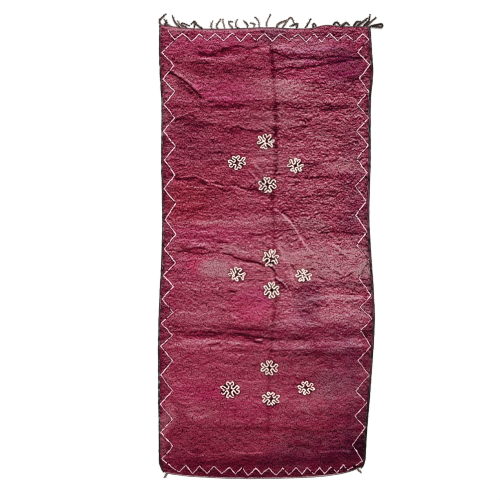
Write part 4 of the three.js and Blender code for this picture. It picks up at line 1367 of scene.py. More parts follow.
def lay_locks(x, y, heading, length, width, lift, curl=0.0, bulge=LOCK_BULGE):
    """Corners, faces, map and share along each lock, for locks rooted at x, y."""
    count = len(x)
    thickness = bulge * width
    corners = np.zeros((count, len(LOCK_CORNERS), 3))
    cells = math.ceil(math.sqrt(count))
    uv = np.zeros((count, len(LOCK_CORNERS), 2))
    along = np.zeros((count, len(LOCK_CORNERS)))
    column, row = np.arange(count) % cells, np.arange(count) // cells
    for index, (station, side) in enumerate(LOCK_CORNERS):
        share = STATIONS[station]
        turned = heading + curl * share
        middle_x, middle_y = on_lock(x, y, heading + curl * share / 2, length, share)
        half = side * width * FULLNESS[station] / 2
        corners[:, index, 0] = middle_x + np.cos(turned) * half
        corners[:, index, 1] = middle_y + np.sin(turned) * half
        crest = pile_top(middle_x, middle_y) + lift
        height = crest - thickness * abs(side)
        if station == 0:
            height = ground_top(x, y) - ROOT_DEPTH
        if station == 3:
            height = crest - TIP_DROP * thickness
        corners[:, index, 2] = np.maximum(height, FLOOR_ROOM)
        cell_u = (column + CELL_MARGIN + (1 - 2 * CELL_MARGIN) * (0.5 + side / 2)) / cells
        cell_v = (row + CELL_MARGIN + (1 - 2 * CELL_MARGIN) * share) / cells
        uv[:, index] = np.stack([cell_u, cell_v], 1)
        along[:, index] = share
    faces = (np.arange(count)[:, None, None] * len(LOCK_CORNERS) + LOCK_FACES).reshape(-1, 3)
    return corners.reshape(-1, 3), faces, uv.reshape(-1, 2), along.ravel()


def add_locks(name, locks, values, material):
    """A piece made of locks. values hold one number for each lock."""
    corners, faces, uv, along = locks
    spread = {key: np.repeat(numbers, len(LOCK_CORNERS)) for key, numbers in values.items()}
    spread["along"] = along
    # The creases' and strokes' painted shade and highlight go into the dye.
    if "dye" in spread:
        spread["dye"] += painted_stroke_shading(corners[:, 0], corners[:, 1])
    return make_piece(name, corners, faces, material, ["pile_field"], spread, uv)


# %% [markdown]
# The locks stand in staggered rows, pulled a little towards the crests of the matted ridges, which opens
# thin dark furrows between them. Where the pale zigzag or a rosette will be, the red locks are left
# out or cut short, as the weaver would tie another colour there. A dark trace lies along the zigzag.

# %% The pile in five lengths
PILE_COLUMNS = 165
PILE_ROWS = 455
LOCK_LENGTH = 18
LOCK_WIDTH = 11.5
ROW_STAGGER = 0.25
ROOT_SHAKE = (0.32, 0.4)
CALM_MARGIN = 40
CLUMPING = 2.0
HEADING_DEGREES = (24, 9)
CURL_DEGREES = 20
ZIGZAG_HALF = 5.5
CUT_SHORT = 0.66
TRACE_REACH = 11
DYE_CHANCE = 0.03
DUST_CHANCE = 0.04
LIFT_CHANCE = 0.8
ROSETTE_REACH = (92, 78)
PILE_BANDS = ["pile_foot", "pile_lower", "pile_middle", "pile_upper", "pile_head"]


def distance_to_zigzag(x, y):
    """Distance in mm to the nearest leg of the zigzag."""
    return np.minimum(*[distance_to_path(x, y, path) for path in zigzag_paths])


def rosette_share(x, y):
    """Below 1 inside the oval ground of a rosette."""
    least = np.full(np.shape(x), 9.0)
    for row in ROSETTES:
        cx, cy = row["at"]
        least = np.minimum(least, np.hypot((x - cx) / ROSETTE_REACH[0], (y - cy) / ROSETTE_REACH[1]))
    return least


def pile_roots():
    """Where every red lock is rooted, how it points and how long it is."""
    chance = np.random.default_rng(7)
    column, row = np.meshgrid(np.arange(PILE_COLUMNS), np.arange(PILE_ROWS), indexing="ij")
    shape = column.shape
    aside, ahead = ROOT_SHAKE
    u = (column + 0.5 + ROW_STAGGER * (-1.0) ** row + chance.uniform(-aside, aside, shape)) / PILE_COLUMNS
    v = (row + 0.5 + chance.uniform(-ahead, ahead, shape)) / PILE_ROWS
    order = np.argsort(v.ravel(), kind="stable")
    x, y = across_outline(np.clip(u, 0.003, 0.997).ravel()[order], np.clip(v, 0.002, 0.999).ravel()[order])
    y = y - CLUMPING * np.sin(2 * np.pi * (ridge_share(x, y) - RIDGE_STEEP))
    swirl, stray = np.radians(HEADING_DEGREES)
    heading = swirl * clouds(x, y, 80, 36, 31) + stray * chance.normal(0, 1, x.shape)
    heading = heading * smooth(side_room(x, y) / CALM_MARGIN)
    length = LOCK_LENGTH * chance.uniform(0.8, 1.2, x.shape)
    length = np.minimum(length, np.maximum(foot_room(x, y) - 1, 8))
    curl = np.radians(CURL_DEGREES) * chance.uniform(-1, 1, x.shape)
    return x, y, heading, length, curl


def clear_of_motifs(x, y, heading, length):
    """Which locks stay, and their lengths once those that would hide the zigzag are cut short."""
    middle = distance_to_zigzag(*on_lock(x, y, heading, length, 0.5))
    tip = distance_to_zigzag(*on_lock(x, y, heading, length, 0.9))
    length = np.where(tip < ZIGZAG_HALF, length * CUT_SHORT, length)
    under = rosette_share(*on_lock(x, y, heading, length, 0.5))
    return (middle > ZIGZAG_HALF) & (under > 1), length


def lay_pile():
    """The red pile, cut into five pieces along the rug."""
    x, y, heading, length, curl = pile_roots()
    keep, length = clear_of_motifs(x, y, heading, length)
    x, y, heading, length, curl = (a[keep] for a in (x, y, heading, length, curl))
    chance = np.random.default_rng(8)
    values = dyes_at(x, y - 10)
    values["dye"] = values["dye"] + contrast_at(x, y) * chance.normal(0, DYE_CHANCE, x.shape)
    values["dust"] = values["dust"] + chance.normal(0, DUST_CHANCE, x.shape)
    beside = np.exp(-((distance_to_zigzag(x, y - 10) / TRACE_REACH) ** 2))
    values["shade"] = np.maximum(beside * (0.4 + 0.5 * clouds(x, y, 34, 34, 32)), edge_shade(x, y - 10))
    width = LOCK_WIDTH * chance.uniform(0.8, 1.2, x.shape)
    lift = chance.uniform(-LIFT_CHANCE, LIFT_CHANCE, x.shape)
    for index, name in enumerate(PILE_BANDS):
        part = slice(len(x) * index // len(PILE_BANDS), len(x) * (index + 1) // len(PILE_BANDS))
        locks = lay_locks(x[part], y[part], heading[part], length[part], width[part], lift[part], curl[part])
        add_locks(name, locks, {key: v[part] for key, v in values.items()}, pile_wool)


lay_pile()

# %% [markdown]
# The zigzag and the rosettes are knotted in pale wool. Their locks are shorter and stand close along the
# line, a little proud of the red pile, so the line stays thin and clear from far away. Here and there a
# knot is missing. The zigzag is greyer towards the foot and on the right and worn away at one spot of the
# right side, and the rosettes' outer hooks are pinker than their hearts.

# %% Zigzag and rosettes
ZIGZAG_STEP = 3.0
ZIGZAG_SHAKE = 1.4
ZIGZAG_SWAY = 3.5
ZIGZAG_LOCK = {"length": 8.9, "width": 9.2, "lift": 3.0}
WORN_AWAY = lot("worn zigzag, right", (850, -110), (110, 120))
ROSETTE_STEP = 2.6
ROSETTE_SHAKE = 1.5
ROSETTE_LOCK = {"length": 9.8, "width": 11.2, "lift": 3.4}
KNOTS_LEFT = -0.62
PINK_FROM = 36
PINK_OVER = 30
LINE_BULGE = 0.1


def spots_along(paths, step, shake, seed):
    """Spots along each path at about that step, shaken by up to so many mm each way."""
    spots = []
    for index, path in enumerate(paths):
        even = evenly(path, max(int(path_length(path) / step), 2))
        spots.append(even + np.random.default_rng(seed + index).uniform(-shake, shake, even.shape))
    return np.vstack(spots)


def line_locks(name, spots, lock, seed, material, dust):
    """Short pale locks whose middles lie on the spots. dust says how soiled each lock is."""
    chance = np.random.default_rng(seed)
    count = len(spots)
    heading = np.radians(16) * chance.normal(0, 1, count)
    length = lock["length"] * chance.uniform(0.85, 1.15, count)
    x, y = on_lock(*spots.T, heading, length, -0.55)
    width = lock["width"] * chance.uniform(0.7, 1.3, count) * (1 - 0.4 * np.clip(dust, 0, 1))
    lift = lock["lift"] + chance.uniform(-0.6, 0.6, count)
    locks = lay_locks(x, y, heading, length, width, lift, bulge=LINE_BULGE)
    values = {"dust": np.clip(dust + 0.12 * chance.normal(0, 1, count), 0, 1)}
    add_locks(name, locks, values, material)


def lay_zigzag():
    """The border's locks, with its gaps, and grey where feet have soiled it."""
    spots = spots_along(zigzag_paths, ZIGZAG_STEP, ZIGZAG_SHAKE, 41)
    spots = spots + ZIGZAG_SWAY * np.stack([clouds(*spots.T, 32, 32, seed) for seed in (48, 49)], axis=1)
    worn = patch_strength(WORN_AWAY, *spots.T)
    spots = spots[clouds(*spots.T, 15, 15, 50) > KNOTS_LEFT + 0.9 * worn]
    x, y = spots.T
    soiling = clouds(x, y, 26, 26, 44) + 1.2 * patch_strength(WORN_AWAY, x, y)
    trodden = 0.5 * smooth((-100 - y) / 900) + 0.3 * smooth((-1700 - y) / 90) + 0.14 * (x > 0)
    dust = np.clip(0.08 + trodden + 0.8 * soiling, 0, 0.95)
    line_locks("border_zigzag", spots, ZIGZAG_LOCK, 42, zigzag_wool, dust)


def lay_rosettes():
    """The rosettes' locks, pinker in the outer hooks and on the four flowers near the foot."""
    spots = spots_along(rosette_lines, ROSETTE_STEP, ROSETTE_SHAKE, 60)
    spots = spots[clouds(*spots.T, 8, 8, 47) > KNOTS_LEFT]
    hearts = np.array([row["at"] for row in ROSETTES], float)
    from_heart = np.min(np.hypot(*(spots[:, None] - hearts[None]).transpose(2, 0, 1)), axis=1)
    pinker = 0.16 * (spots[:, 1] < -900) + 0.3 * smooth((from_heart - PINK_FROM) / PINK_OVER)
    dust = np.clip(pinker + 0.6 * clouds(*spots.T, 10, 10, 45), 0, 0.7)
    line_locks("rosettes", spots, ROSETTE_LOCK, 43, rosette_wool, dust)


lay_zigzag()
lay_rosettes()

# %% [markdown]
# Dark brown knots fill the rosettes' lobes and hearts and outline them, and fade into the red beyond.
# They sit on a finer grid than the rest, so that the flower's small hooks stay readable.

# %% Ground of the rosettes
FINE_STEP = (6.8, 8.0)
FINE_SHAKE = 2
FINE_LENGTH = 12
FINE_WIDTH = 8.0
LINE_ROOM = 3.2
DARK_REACH = 14
NEAR_LINES = 10
ROSETTE_HEART = (68, 54)


def ground_darkness(x, y, row, line, away):
    """How dark the ground is: in spots beside the line, between close lines, and in the heart."""
    steps = np.hypot(x[:, None] - line[None, :, 0], y[:, None] - line[None, :, 1])
    length = np.hypot(*np.diff(line, axis=0).T).mean()
    crowded = smooth((np.exp(-((steps / NEAR_LINES) ** 2)).sum(axis=1) * length - 13) / 6)
    heart_x, heart_y = np.array(ROSETTE_HEART) * row["size"]
    heart = 1 - smooth((np.hypot((x - row["at"][0]) / heart_x, (y - row["at"][1]) / heart_y) - 0.9) / 0.2)
    heart *= 0.88 + 0.35 * clouds(x, y, 15, 12, 48)
    specks = np.clip(0.7 + 1.3 * clouds(x, y, 15, 12, 46), 0, 0.97) * np.exp(-((away / DARK_REACH) ** 4))
    return np.maximum(np.maximum(specks, 0.97 * crowded), heart)


def rosette_grounds():
    """Fine locks in the oval around each rosette, dark near its line and inside it."""
    chance = np.random.default_rng(9)
    steps = [np.arange(-half, half, step) for half, step in zip(ROSETTE_REACH, FINE_STEP)]
    spots, shades = [], []
    for row, line in zip(ROSETTES, rosette_lines):
        gx, gy = np.meshgrid(*steps)
        gx = gx + chance.uniform(-FINE_SHAKE, FINE_SHAKE, gx.shape)
        gy = gy + chance.uniform(-FINE_SHAKE, FINE_SHAKE, gy.shape)
        inside = np.hypot(gx / ROSETTE_REACH[0], gy / ROSETTE_REACH[1]) < 1.02
        x, y = gx[inside] + row["at"][0], gy[inside] + row["at"][1]
        away = distance_to_path(x, y, line[::3])
        keep = away > LINE_ROOM
        spots.append(np.stack([x, y], 1)[keep])
        shades.append(ground_darkness(x, y, row, line, away)[keep])
    spots, shades = np.vstack(spots), np.concatenate(shades)
    count = len(spots)
    length = FINE_LENGTH * chance.uniform(0.9, 1.1, count)
    heading = np.radians(14) * chance.normal(0, 1, count)
    x, y = on_lock(*spots.T, heading, length, -0.5)
    values = dyes_at(x, y)
    values["shade"] = np.clip(shades + 0.06 * chance.normal(0, 1, count), 0, 1)
    locks = lay_locks(x, y, heading, length, np.full(count, FINE_WIDTH), chance.uniform(-1.4, 0.2, count))
    add_locks("rosette_grounds", locks, values, pile_wool)


rosette_grounds()

# %% [markdown]
# The sides are overcast: dark wool is wound round the outermost warps all the way up, which makes a firm
# round cord. The cord follows the outline, and slanting turns of yarn ridge its surface. A tube with a
# ridged radius is lighter than thousands of separate turns and looks the same from a step away.
# Turns that were wound slackly bulge, and lint of the red pile has rubbed into the inner flank. The
# hollows between the turns are darkened as painted shade.

# %% Tubes along a path
GAP = 0.3


def normals_of(path, side):
    """Unit vectors out of the rug along an edge. side is 1 where the edge's left is outside."""
    tangent = np.gradient(path, axis=0)
    tangent /= np.hypot(*tangent.T)[:, None]
    return np.stack([-tangent[:, 1] * side, tangent[:, 0] * side], axis=1)


def rings_along(path, out, aside, up):
    """Rings of corners along a path. aside and up are in mm, and have a row for each spot of the path."""
    flat = path[:, None] + out[:, None] * aside[:, :, None]
    return np.concatenate([flat, up[:, :, None]], axis=2)


def closed_tube(rings):
    """Corners and triangles of a tube through rings of corners, shape (rings, around, 3), with flat ends."""
    count, around = rings.shape[:2]
    start = np.arange(count - 1)[:, None] * around
    here, beside = np.arange(around), np.roll(np.arange(around), -1)
    a, b = start + here, start + beside
    c, d = b + around, a + around
    faces = [np.stack([a, b, c], -1).reshape(-1, 3), np.stack([a, c, d], -1).reshape(-1, 3)]
    fan = np.stack([np.zeros(around - 2, int), np.arange(1, around - 1), np.arange(2, around)], 1)
    faces += [fan[:, ::-1], fan + (count - 1) * around]
    return rings.reshape(-1, 3), np.concatenate(faces)


def drift(run, reach, seed):
    """A smooth random change from -1 to 1 along a run, which takes about that many mm."""
    return clouds(run, run * 0, reach, 20, seed)


print("the edges keep", GAP, "mm from the pile")

# %% Overcast sides
END_SETBACK = 2
LEFT_CORD = {"width": 14, "height": 12, "lint": 2.0, "uneven": 0.5}
RIGHT_CORD = {"width": 23, "height": 13, "lint": 2.5, "uneven": 0.2}
TURN_STEP = 9.0
TURN_SLANT = 0.9
TURN_DEPTH = 0.2
CORD_STEP = 2.4
CORD_AROUND = 9
CORD_SPOT_MM = 26.32
YARN_SPOT_MM = 1.111


def overcast_wool():
    """Goat-dark wool wound tight: brown-black yarn, with painted shade in the hollows between its turns."""
    material, tree = new_material("overcast dark wool")
    place = add_node(tree, "ShaderNodeTexCoord").outputs["Object"]
    spots = add_node(tree, "ShaderNodeTexNoise", inputs={
        "Vector": place, "Scale": 1000 / CORD_SPOT_MM, "Detail": 3.0, "Roughness": 0.6})
    dark = add_node(tree, "ShaderNodeValToRGB", inputs={"Fac": spots.outputs["Fac"]}, stops=[
        (0.3, "#140C0E"), (0.7, "#3C2C2E")])
    colour = tinted(tree, dark.outputs["Color"], "inner", "#7C4458")
    # along is each turn's crest: the hollows between turns get painted shade.
    along = add_node(tree, "ShaderNodeAttribute", {"attribute_name": "along"})
    colour = toned(tree, colour, along.outputs["Fac"], [(0.0, "#555555"), (1.0, "#FFFFFF")])
    fine = add_node(tree, "ShaderNodeTexNoise", inputs={
        "Vector": place, "Scale": 1000 / YARN_SPOT_MM, "Detail": 1.0})
    wool_surface(tree, colour, fine.outputs["Fac"], 0.2, "#8C7A7A")
    return material


def overcast_side(name, edge, side, sizes, node, material):
    """A cord along one side, ridged by its turns of yarn and flat where it lies on the floor."""
    path = evenly(edges[edge], int(path_length(edges[edge]) / CORD_STEP))
    path = path[: len(path) - int(END_SETBACK / CORD_STEP) - 1]
    run = np.arange(len(path)) * CORD_STEP
    angle = np.linspace(0, math.pi, CORD_AROUND)
    phase = run[:, None] / TURN_STEP + side * TURN_SLANT * angle[None, :] / math.pi
    crest = np.abs(np.cos(math.pi * phase)) ** 0.7
    swell = 1 - TURN_DEPTH + TURN_DEPTH * crest
    swell = swell * (1 + 0.05 * clouds(run[:, None], angle[None, :] * 20, 40, 20, 71))
    slack = 0.6 * drift(run, 34, 73) + 0.4 * drift(run, 11, 74)
    swell = swell * (1 + sizes["uneven"] * slack[:, None])
    reach = GAP + sizes["width"] / 2 * (1 - np.cos(angle)[None, :] * swell)
    height = sizes["height"] * np.sin(angle)[None, :] * swell
    rings = rings_along(path, normals_of(path, side), reach, height)
    lint = 0.6 + 0.9 * clouds(run[:, None], angle[None, :] * 12, 30, 12, 72)
    faded = smooth((path[:, 1] + 1500) / 900)[:, None]
    inner = np.clip(smooth((sizes["lint"] - angle[None, :]) / 0.8) * lint * faded, 0, 0.9)
    if side < 0:
        rings, crest, inner = rings[:, ::-1], crest[:, ::-1], inner[:, ::-1]
    corners, faces = closed_tube(rings)
    # along carries the turns' crests, for the painted shade in the hollows between them.
    values = {"along": crest.ravel(), "inner": inner.ravel()}
    make_piece(name, corners, faces, material, [node], values)


dark_wool = overcast_wool()
overcast_side("overcast_left", "left", 1, LEFT_CORD, "selvedge_left", dark_wool)
overcast_side("overcast_right", "right", -1, RIGHT_CORD, "selvedge_right", dark_wool)

# %% [markdown]
# The fringe is the ends of the warps, and each strand is two yarns twisted together, so it is made as two
# tubes that wind round one path. Loose fibres stand off along a strand and fray at its end. Particle
# hair could be twisted too, but it can't be told where to curl. The same functions make the small tufts
# at the foot corners.

# %% Twisted strands
STRAND_STEPS = 12
FINE_STEPS = 44
PLY_AROUND = 6
TWIST_STEP = 15.0
PLY = {"aside": 0.22, "up": 0.40, "rise": 0.16, "half width": 0.27, "half height": 0.24}


def strand_path(root, length, lean, turn, at, over):
    """The path of a strand on the floor, from its root: it leaves at its lean and turns once."""
    share = (np.arange(1, STRAND_STEPS + 1) - 0.5) / STRAND_STEPS
    heading = np.radians(lean + turn * smooth((share - at) / over + 0.5))
    moves = np.stack([np.sin(heading), np.cos(heading)], 1) * length / STRAND_STEPS
    coarse = np.vstack([root, root + np.cumsum(moves, axis=0)])
    return curve_through(coarse, FINE_STEPS)


def join_meshes(parts):
    """Several (corners, faces, value, value ...) parts as one."""
    corners, faces, offset = [], [], 0
    values = [[] for _ in parts[0][2:]]
    for part in parts:
        corners.append(part[0])
        faces.append(part[1] + offset)
        offset += len(part[0])
        for kept, value in zip(values, part[2:]):
            kept.append(value)
    return (np.vstack(corners), np.vstack(faces), *[np.concatenate(v) for v in values])


def twisted_strand(path, width, start_turn):
    """Corners, faces, share along and yarn number of two yarns wound round a path on the floor."""
    share = np.linspace(0, 1, len(path))
    size = width * (0.55 + 0.45 * smooth(share / 0.12)) * (1 - 0.35 * share)
    turn = 2 * math.pi * (share * path_length(path)) / TWIST_STEP + start_turn
    angle = np.linspace(0, 2 * math.pi, PLY_AROUND, endpoint=False)
    made = []
    for ply in (0, math.pi):
        aside = PLY["aside"] * size * np.cos(turn + ply)
        up = PLY["up"] * size + PLY["rise"] * size * np.sin(turn + ply)
        aside = aside[:, None] + PLY["half width"] * size[:, None] * np.cos(angle)
        up = up[:, None] + PLY["half height"] * size[:, None] * np.sin(angle)
        corners, faces = closed_tube(rings_along(path, normals_of(path, 1), aside, up))
        made.append((corners, faces, np.repeat(share, PLY_AROUND), np.full(len(corners), ply / math.pi)))
    return join_meshes(made)


print("a strand has", FINE_STEPS, "steps and a turn every", TWIST_STEP, "mm")

# %% [markdown]
# Every strand of the fringe has its own row: where it leaves the head, its length and width in mm, its
# lean from straight out and how far it turns, both in degrees, where along it and over how much of it
# that turn comes, and its wool. They lie on the floor as the CAD's strands do. Soot and walnut are
# dark, tan is warmer, ash is pale grey, and two are pinkish. Two end in a small dark knot.

# %% Fringe table
STRAND_COLUMNS = ("root", "length", "width", "lean", "turn", "at", "over", "wool", "knot")
FRINGE = [
    (-892, 102, 13, -38, 84, 0.3, 0.5, "walnut", 0),
    (-866, 54, 13, 52, -96, 0.55, 0.4, "walnut", 0),
    (-810, 44, 8, -57, 8, 0.5, 0.8, "ash", 0),
    (-730, 112, 13, -46, 28, 0.6, 0.6, "walnut", 0),
    (-704, 66, 8, -43, 6, 0.5, 0.8, "ash", 0),
    (-668, 134, 10, -62, 174, 0.5, 0.28, "walnut", 0),
    (-612, 96, 11, 14, -150, 0.66, 0.32, "walnut", 0),
    (-537, 82, 12, -58, 10, 0.5, 0.6, "walnut", 0),
    (-463, 60, 9, -6, 24, 0.5, 0.5, "ash", 0),
    (-404, 88, 10, -44, 80, 0.35, 0.4, "tan", 0),
    (-348, 76, 8, -18, 8, 0.5, 0.5, "ash", 0),
    (-278, 96, 10, -40, 140, 0.74, 0.36, "tan", 0),
    (-222, 88, 9, -70, 92, 0.48, 0.8, "tan", 0),
    (-157, 68, 11, 2, -58, 0.55, 0.7, "tan", 0),
    (-105, 60, 9, 15, -105, 0.6, 0.5, "tan", 0),
    (-58, 92, 9, 0, -48, 0.6, 0.7, "ash", 1),
    (8, 106, 9, -4, 30, 0.4, 0.5, "ash", 1),
    (87, 104, 14, 26, 44, 0.4, 0.5, "pink", 0),
    (136, 176, 12, 36, 122, 0.68, 0.26, "pink", 0),
    (256, 98, 13, 24, -134, 0.42, 0.3, "walnut", 0),
    (327, 90, 10, 38, -10, 0.5, 0.6, "walnut", 0),
    (400, 70, 11, -2, 158, 0.56, 0.5, "walnut", 0),
    (568, 76, 12, 38, 104, 0.55, 0.6, "soot", 0),
    (640, 74, 16, 54, 80, 0.72, 0.36, "walnut", 0),
    (742, 70, 15, 35, 55, 0.7, 0.3, "soot", 0),
    (768, 108, 16, 56, -6, 0.5, 0.6, "walnut", 0),
    (826, 112, 14, 46, -34, 0.6, 0.3, "soot", 0),
    (850, 104, 13, 46, 4, 0.5, 0.6, "walnut", 0),
    (880, 206, 15, 78, 196, 0.58, 0.3, "soot", 0),
]
CORNER_TUFTS = [
    (-838, 38, 12, 214, 0, 0.5, 1, "pink", 0),
    (776, 40, 11, 136, 0, 0.5, 1, "pink", 0),
]
STRAND_TONES = {
    "soot": (0.0, 0.4), "walnut": (0.08, 0.62), "tan": (0.3, 0.86), "pink": (0.5, 0.86), "ash": (0.5, 0.96),
}
print(len(FRINGE), "strands and", len(CORNER_TUFTS), "tufts")

# %% [markdown]
# Warp wool is undyed: sheep's soot brown, walnut and ash grey. Each strand's tone comes from the table as
# a value on the mesh, and spots of about 6 mm darken it here and there, as dirt does. It is matt and
# fuzzy like the pile.

# %% Fringe strands
FRINGE_FULLNESS = 1.55
HEAD_STRIP_WIDTH = 7
END_FIBRES = 16
SIDE_FIBRES = 3
SIDE_FIBRE_DEGREES = 60
FIRST_FIBRES = 5
FIBRE_STEP = 5
FRAY_LENGTH = 18
FRAY_SHARES = np.linspace(-0.4, 1, 4)
FRAY_HALF = 1.5 * np.array([1.0, 1.0, 0.7, 0.15])
FRAY_RISE = np.array([1.0, 0.8, 0.3, 0.0])
WARP_SPOT_MM = 6.25


def plied_wool():
    """Plied warp wool, undyed: soot brown to ash grey by strand, with darker spots."""
    material, tree = new_material("plied warp wool")
    amount = add_node(tree, "ShaderNodeAttribute", {"attribute_name": "tone"})
    tone = add_node(tree, "ShaderNodeValToRGB", inputs={"Fac": amount.outputs["Fac"]}, stops=[
        (0.0, "#1A1210"), (1.0, "#C2B4A6"), (0.35, "#4E3C32"), (0.7, "#9A756C")])
    place = add_node(tree, "ShaderNodeTexCoord")
    spots = add_node(tree, "ShaderNodeTexNoise", inputs={
        "Vector": place.outputs["Object"], "Scale": 1000 / WARP_SPOT_MM, "Detail": 3.0, "Roughness": 0.65})
    colour = toned(tree, tone.outputs["Color"], spots.outputs["Fac"], [(0.3, "#9A9A9A"), (0.7, "#FFFFFF")])
    wool_surface(tree, colour, spots.outputs["Fac"], 0.2, "#C8B8A8")
    return material


def fray(tip, heading, width, count, chance):
    """Loose fibres at a spot of a strand, as thin tapering spikes of three sides."""
    angle = np.linspace(0, 2 * math.pi, 3, endpoint=False)
    parts = []
    for _ in range(count):
        turned = heading + chance.normal(0, 0.45)
        length = FRAY_LENGTH * chance.uniform(0.5, 1.1)
        path = np.stack([
            tip[0] + np.sin(turned) * length * FRAY_SHARES + chance.uniform(-0.2, 0.2) * width,
            tip[1] + np.cos(turned) * length * FRAY_SHARES + chance.uniform(-0.2, 0.2) * width], 1)
        rise = 1.6 + FRAY_RISE * chance.uniform(0, 2)
        aside = FRAY_HALF[:, None] * np.cos(angle)
        up = rise[:, None] + FRAY_HALF[:, None] * np.sin(angle)
        parts.append(closed_tube(rings_along(path, normals_of(path, 1), aside, up)))
    return join_meshes(parts)


def strand_with_ends(row, root, chance):
    """One strand with its loose and frayed fibres, and its tone at every corner."""
    path = strand_path(root, row["length"], row["lean"], row["turn"], row["at"], row["over"])
    corners, faces, share, yarn = twisted_strand(path, row["width"] * FRINGE_FULLNESS, chance.uniform(0, 6))
    first, second = STRAND_TONES[row["wool"]]
    loose = []
    for spot in range(len(path) - 1, FIRST_FIBRES, -FIBRE_STEP):
        ahead = path[spot] - path[spot - 3]
        at_tip = spot == len(path) - 1
        aside = 0 if at_tip else chance.choice((-1, 1)) * math.radians(SIDE_FIBRE_DEGREES)
        count = END_FIBRES if at_tip else SIDE_FIBRES
        made = fray(path[spot], math.atan2(ahead[0], ahead[1]) + aside, row["width"], count, chance)
        fibre_tone = (first + second) / 2 * (1 - at_tip * row["knot"])
        loose.append((*made, np.full(len(made[0]), fibre_tone)))
    tone = first + (second - first) * yarn
    dark_tip = smooth((share - 0.86) / 0.06) * row["knot"]
    tones = tone * (1 - dark_tip) + 0.08 * np.sin(share * 9 + root[0])
    return join_meshes([(corners, faces, tones), *loose])


def lay_strands(name, table, edge, outside, seed, node):
    """A piece of strands on the floor, each rooted at its place on an edge, so many mm out from it."""
    chance = np.random.default_rng(seed)
    parts = []
    for cells in table:
        row = dict(zip(STRAND_COLUMNS, cells))
        root = np.array([row["root"], np.interp(row["root"], *edges[edge].T) + outside])
        parts.append(strand_with_ends(row, root, chance))
    corners, faces, tones = join_meshes(parts)
    values = {"tone": np.clip(tones, 0, 1)}
    return make_piece(name, corners, faces, warp_wool, [node], values)


warp_wool = plied_wool()
fringe_piece = lay_strands("fringe_strands", FRINGE, "head", GAP + HEAD_STRIP_WIDTH / 2, 12, "fringe_head")

# %% [markdown]
# Between the pile and the fringe runs a twined cord: two yarns that cross at every warp and lock the last
# row of knots. It is one long twisted strand along the head edge. Its dye is a dull plum rose, and a
# table says where along the head it has gone sooty.

# %% Twined head cord
TWINE_STEP = 11.0
TWINE_SPACING = 2.2
TWINE = {"aside": 1.2, "up": 3.5, "rise": 1.4, "half width": 1.7, "half height": 1.9}
TWINE_SPOT_MM = 18.18
HEAD_SOOT = [
    (-900, -0.3), (-620, 0.0), (-520, 0.45), (-40, 0.6), (60, 0.75), (280, 0.3), (330, -0.1), (560, 0.1),
    (850, 0.4),
]
SOOT_SHARE = 0.9


def dyed_twine(name, dark_hex, light_hex):
    """Twined or woven wool of one dye, with painted shade in its hollows."""
    material, tree = new_material(name)
    place = add_node(tree, "ShaderNodeTexCoord")
    spots = add_node(tree, "ShaderNodeTexNoise", inputs={
        "Vector": place.outputs["Object"], "Scale": 1000 / TWINE_SPOT_MM, "Detail": 3.0, "Roughness": 0.6})
    tone = add_node(tree, "ShaderNodeValToRGB", inputs={"Fac": spots.outputs["Fac"]}, stops=[
        (0.3, dark_hex), (0.7, light_hex)])
    colour = tinted(tree, tone.outputs["Color"], "shade", "#220E14")
    # along is high where a yarn rises: lower places get painted shade.
    along = add_node(tree, "ShaderNodeAttribute", {"attribute_name": "along"})
    colour = toned(tree, colour, along.outputs["Fac"], [(0.0, "#6A6A6A"), (1.0, "#FFFFFF")])
    wool_surface(tree, colour, spots.outputs["Fac"], 0.1, "#D8B8C0")
    return material


def past_the_ends(path, before, after):
    """The path, made longer at each end by so many mm."""
    start = path[0] - (path[1] - path[0]) / math.dist(path[0], path[1]) * before
    end = path[-1] + (path[-1] - path[-2]) / math.dist(path[-1], path[-2]) * after
    return np.vstack([start, path, end])


def head_twining():
    """Two yarns twined along the head edge, out to the ends of both side cords."""
    path = past_the_ends(edges["head"], LEFT_CORD["width"], RIGHT_CORD["width"])
    path = evenly(path, int(path_length(path) / TWINE_SPACING))
    out = normals_of(path, 1)
    path = path + out * (GAP + HEAD_STRIP_WIDTH / 2)
    run = np.linspace(0, 1, len(path)) * path_length(path)
    angle = np.linspace(0, 2 * math.pi, PLY_AROUND, endpoint=False)
    line = np.interp(path[:, 0], *zip(*HEAD_SOOT))
    soot = SOOT_SHARE * smooth(line + 0.8 * drift(run, 46, 82) + 0.9 * drift(run, 17, 83))
    parts = []
    for ply in (0, math.pi):
        turn = 2 * math.pi * run / TWINE_STEP + ply
        aside = TWINE["aside"] * np.cos(turn)[:, None] + TWINE["half width"] * np.cos(angle)
        up = TWINE["up"] + TWINE["rise"] * np.sin(turn)[:, None] + TWINE["half height"] * np.sin(angle)
        corners, faces = closed_tube(rings_along(path, out, aside, up))
        # along rises and falls with each yarn, for painted shade where it dips under the other.
        along = np.repeat(0.5 + 0.5 * np.sin(turn), PLY_AROUND)
        parts.append((corners, faces, along, np.repeat(soot, PLY_AROUND)))
    corners, faces, along, shade = join_meshes(parts)
    values = {"along": along, "shade": shade}
    return make_piece("head_twining", corners, faces, plum_twine, ["fringe_head"], values)


plum_twine = dyed_twine("plum twined wool", "#9A5A6C", "#F0D2CC")
head_piece = head_twining()

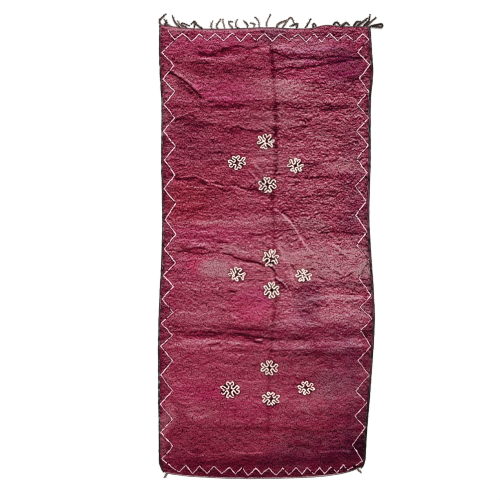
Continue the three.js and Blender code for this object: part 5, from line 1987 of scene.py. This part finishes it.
# %% [markdown]
# The foot ends in a narrow flat weave, pale pink and grey, which kept the first knots from slipping. It has
# three ribs, each a warp bundle wrapped by the weft. It is swept along the foot edge, and the ribs rise
# and fall with every weft that crosses them. Its outer rib and its right end are sooty. A small tuft of
# warp hangs out at each corner.

# %% Woven foot strip
FOOT_STRIP = {"width": 14, "height": 6}
RIBS = 3
RIB_AROUND = 13
WEFT_STEP = 7.0
WEAVE_STEP = 2.6


def foot_weave():
    """The ribbed strip along the foot edge."""
    path = evenly(edges["foot"], int(path_length(edges["foot"]) / WEAVE_STEP))[1:-1]
    run = np.arange(len(path)) * WEAVE_STEP
    share = np.linspace(0, 1, RIB_AROUND)
    rib = np.abs(np.sin(math.pi * RIBS * share))[None, :]
    weft = 0.5 + 0.5 * np.cos(2 * math.pi * (run[:, None] / WEFT_STEP + 0.5 * np.floor(share * RIBS)))
    crown = np.sin(math.pi * share)[None, :] ** 0.4
    height = FOOT_STRIP["height"] * crown * (0.55 + 0.25 * rib + 0.2 * weft)
    uneven = 1 - 0.16 * (1 + drift(run, 46, 81))[:, None]
    reach = GAP + FOOT_STRIP["width"] * share[None, :] * uneven
    rings = rings_along(path, normals_of(path, -1), reach, np.maximum(height, 0))
    corners, faces = closed_tube(rings[:, ::-1])
    # along is low between the ribs and where a weft dips, for painted shade there.
    along = (0.35 + 0.65 * rib * (0.4 + 0.6 * weft))[:, ::-1]
    outer = 0.85 * smooth((share[::-1] - 0.5) / 0.3)[None, :]
    corner = 0.7 * smooth((path[:, 0] - 560) / 160)[:, None]
    soot = np.maximum(outer * (0.75 + 0.5 * drift(run, 50, 84))[:, None], corner)
    values = {"along": along.ravel(), "shade": np.clip(soot, 0, 1).ravel()}
    return make_piece("foot_weave", corners, faces, rose_weave, ["foot_strip"], values)


rose_weave = dyed_twine("rose flat weave", "#96646E", "#E4BCC0")
foot_piece = foot_weave()
lay_strands("corner_tufts", CORNER_TUFTS, "foot", -FOOT_STRIP["width"] / 2, 13, "foot_strip")

# %% [markdown]
# The rug is one sheet of cloth laid on the floor, and the fringe and the edges are pieces on it.
# Last, the triangles of all the shown pieces are counted.

total = sum(len(o.data.polygons) for o in bpy.context.scene.objects if o.type == "MESH" and not o.hide_render)
print("triangles in all:", total)
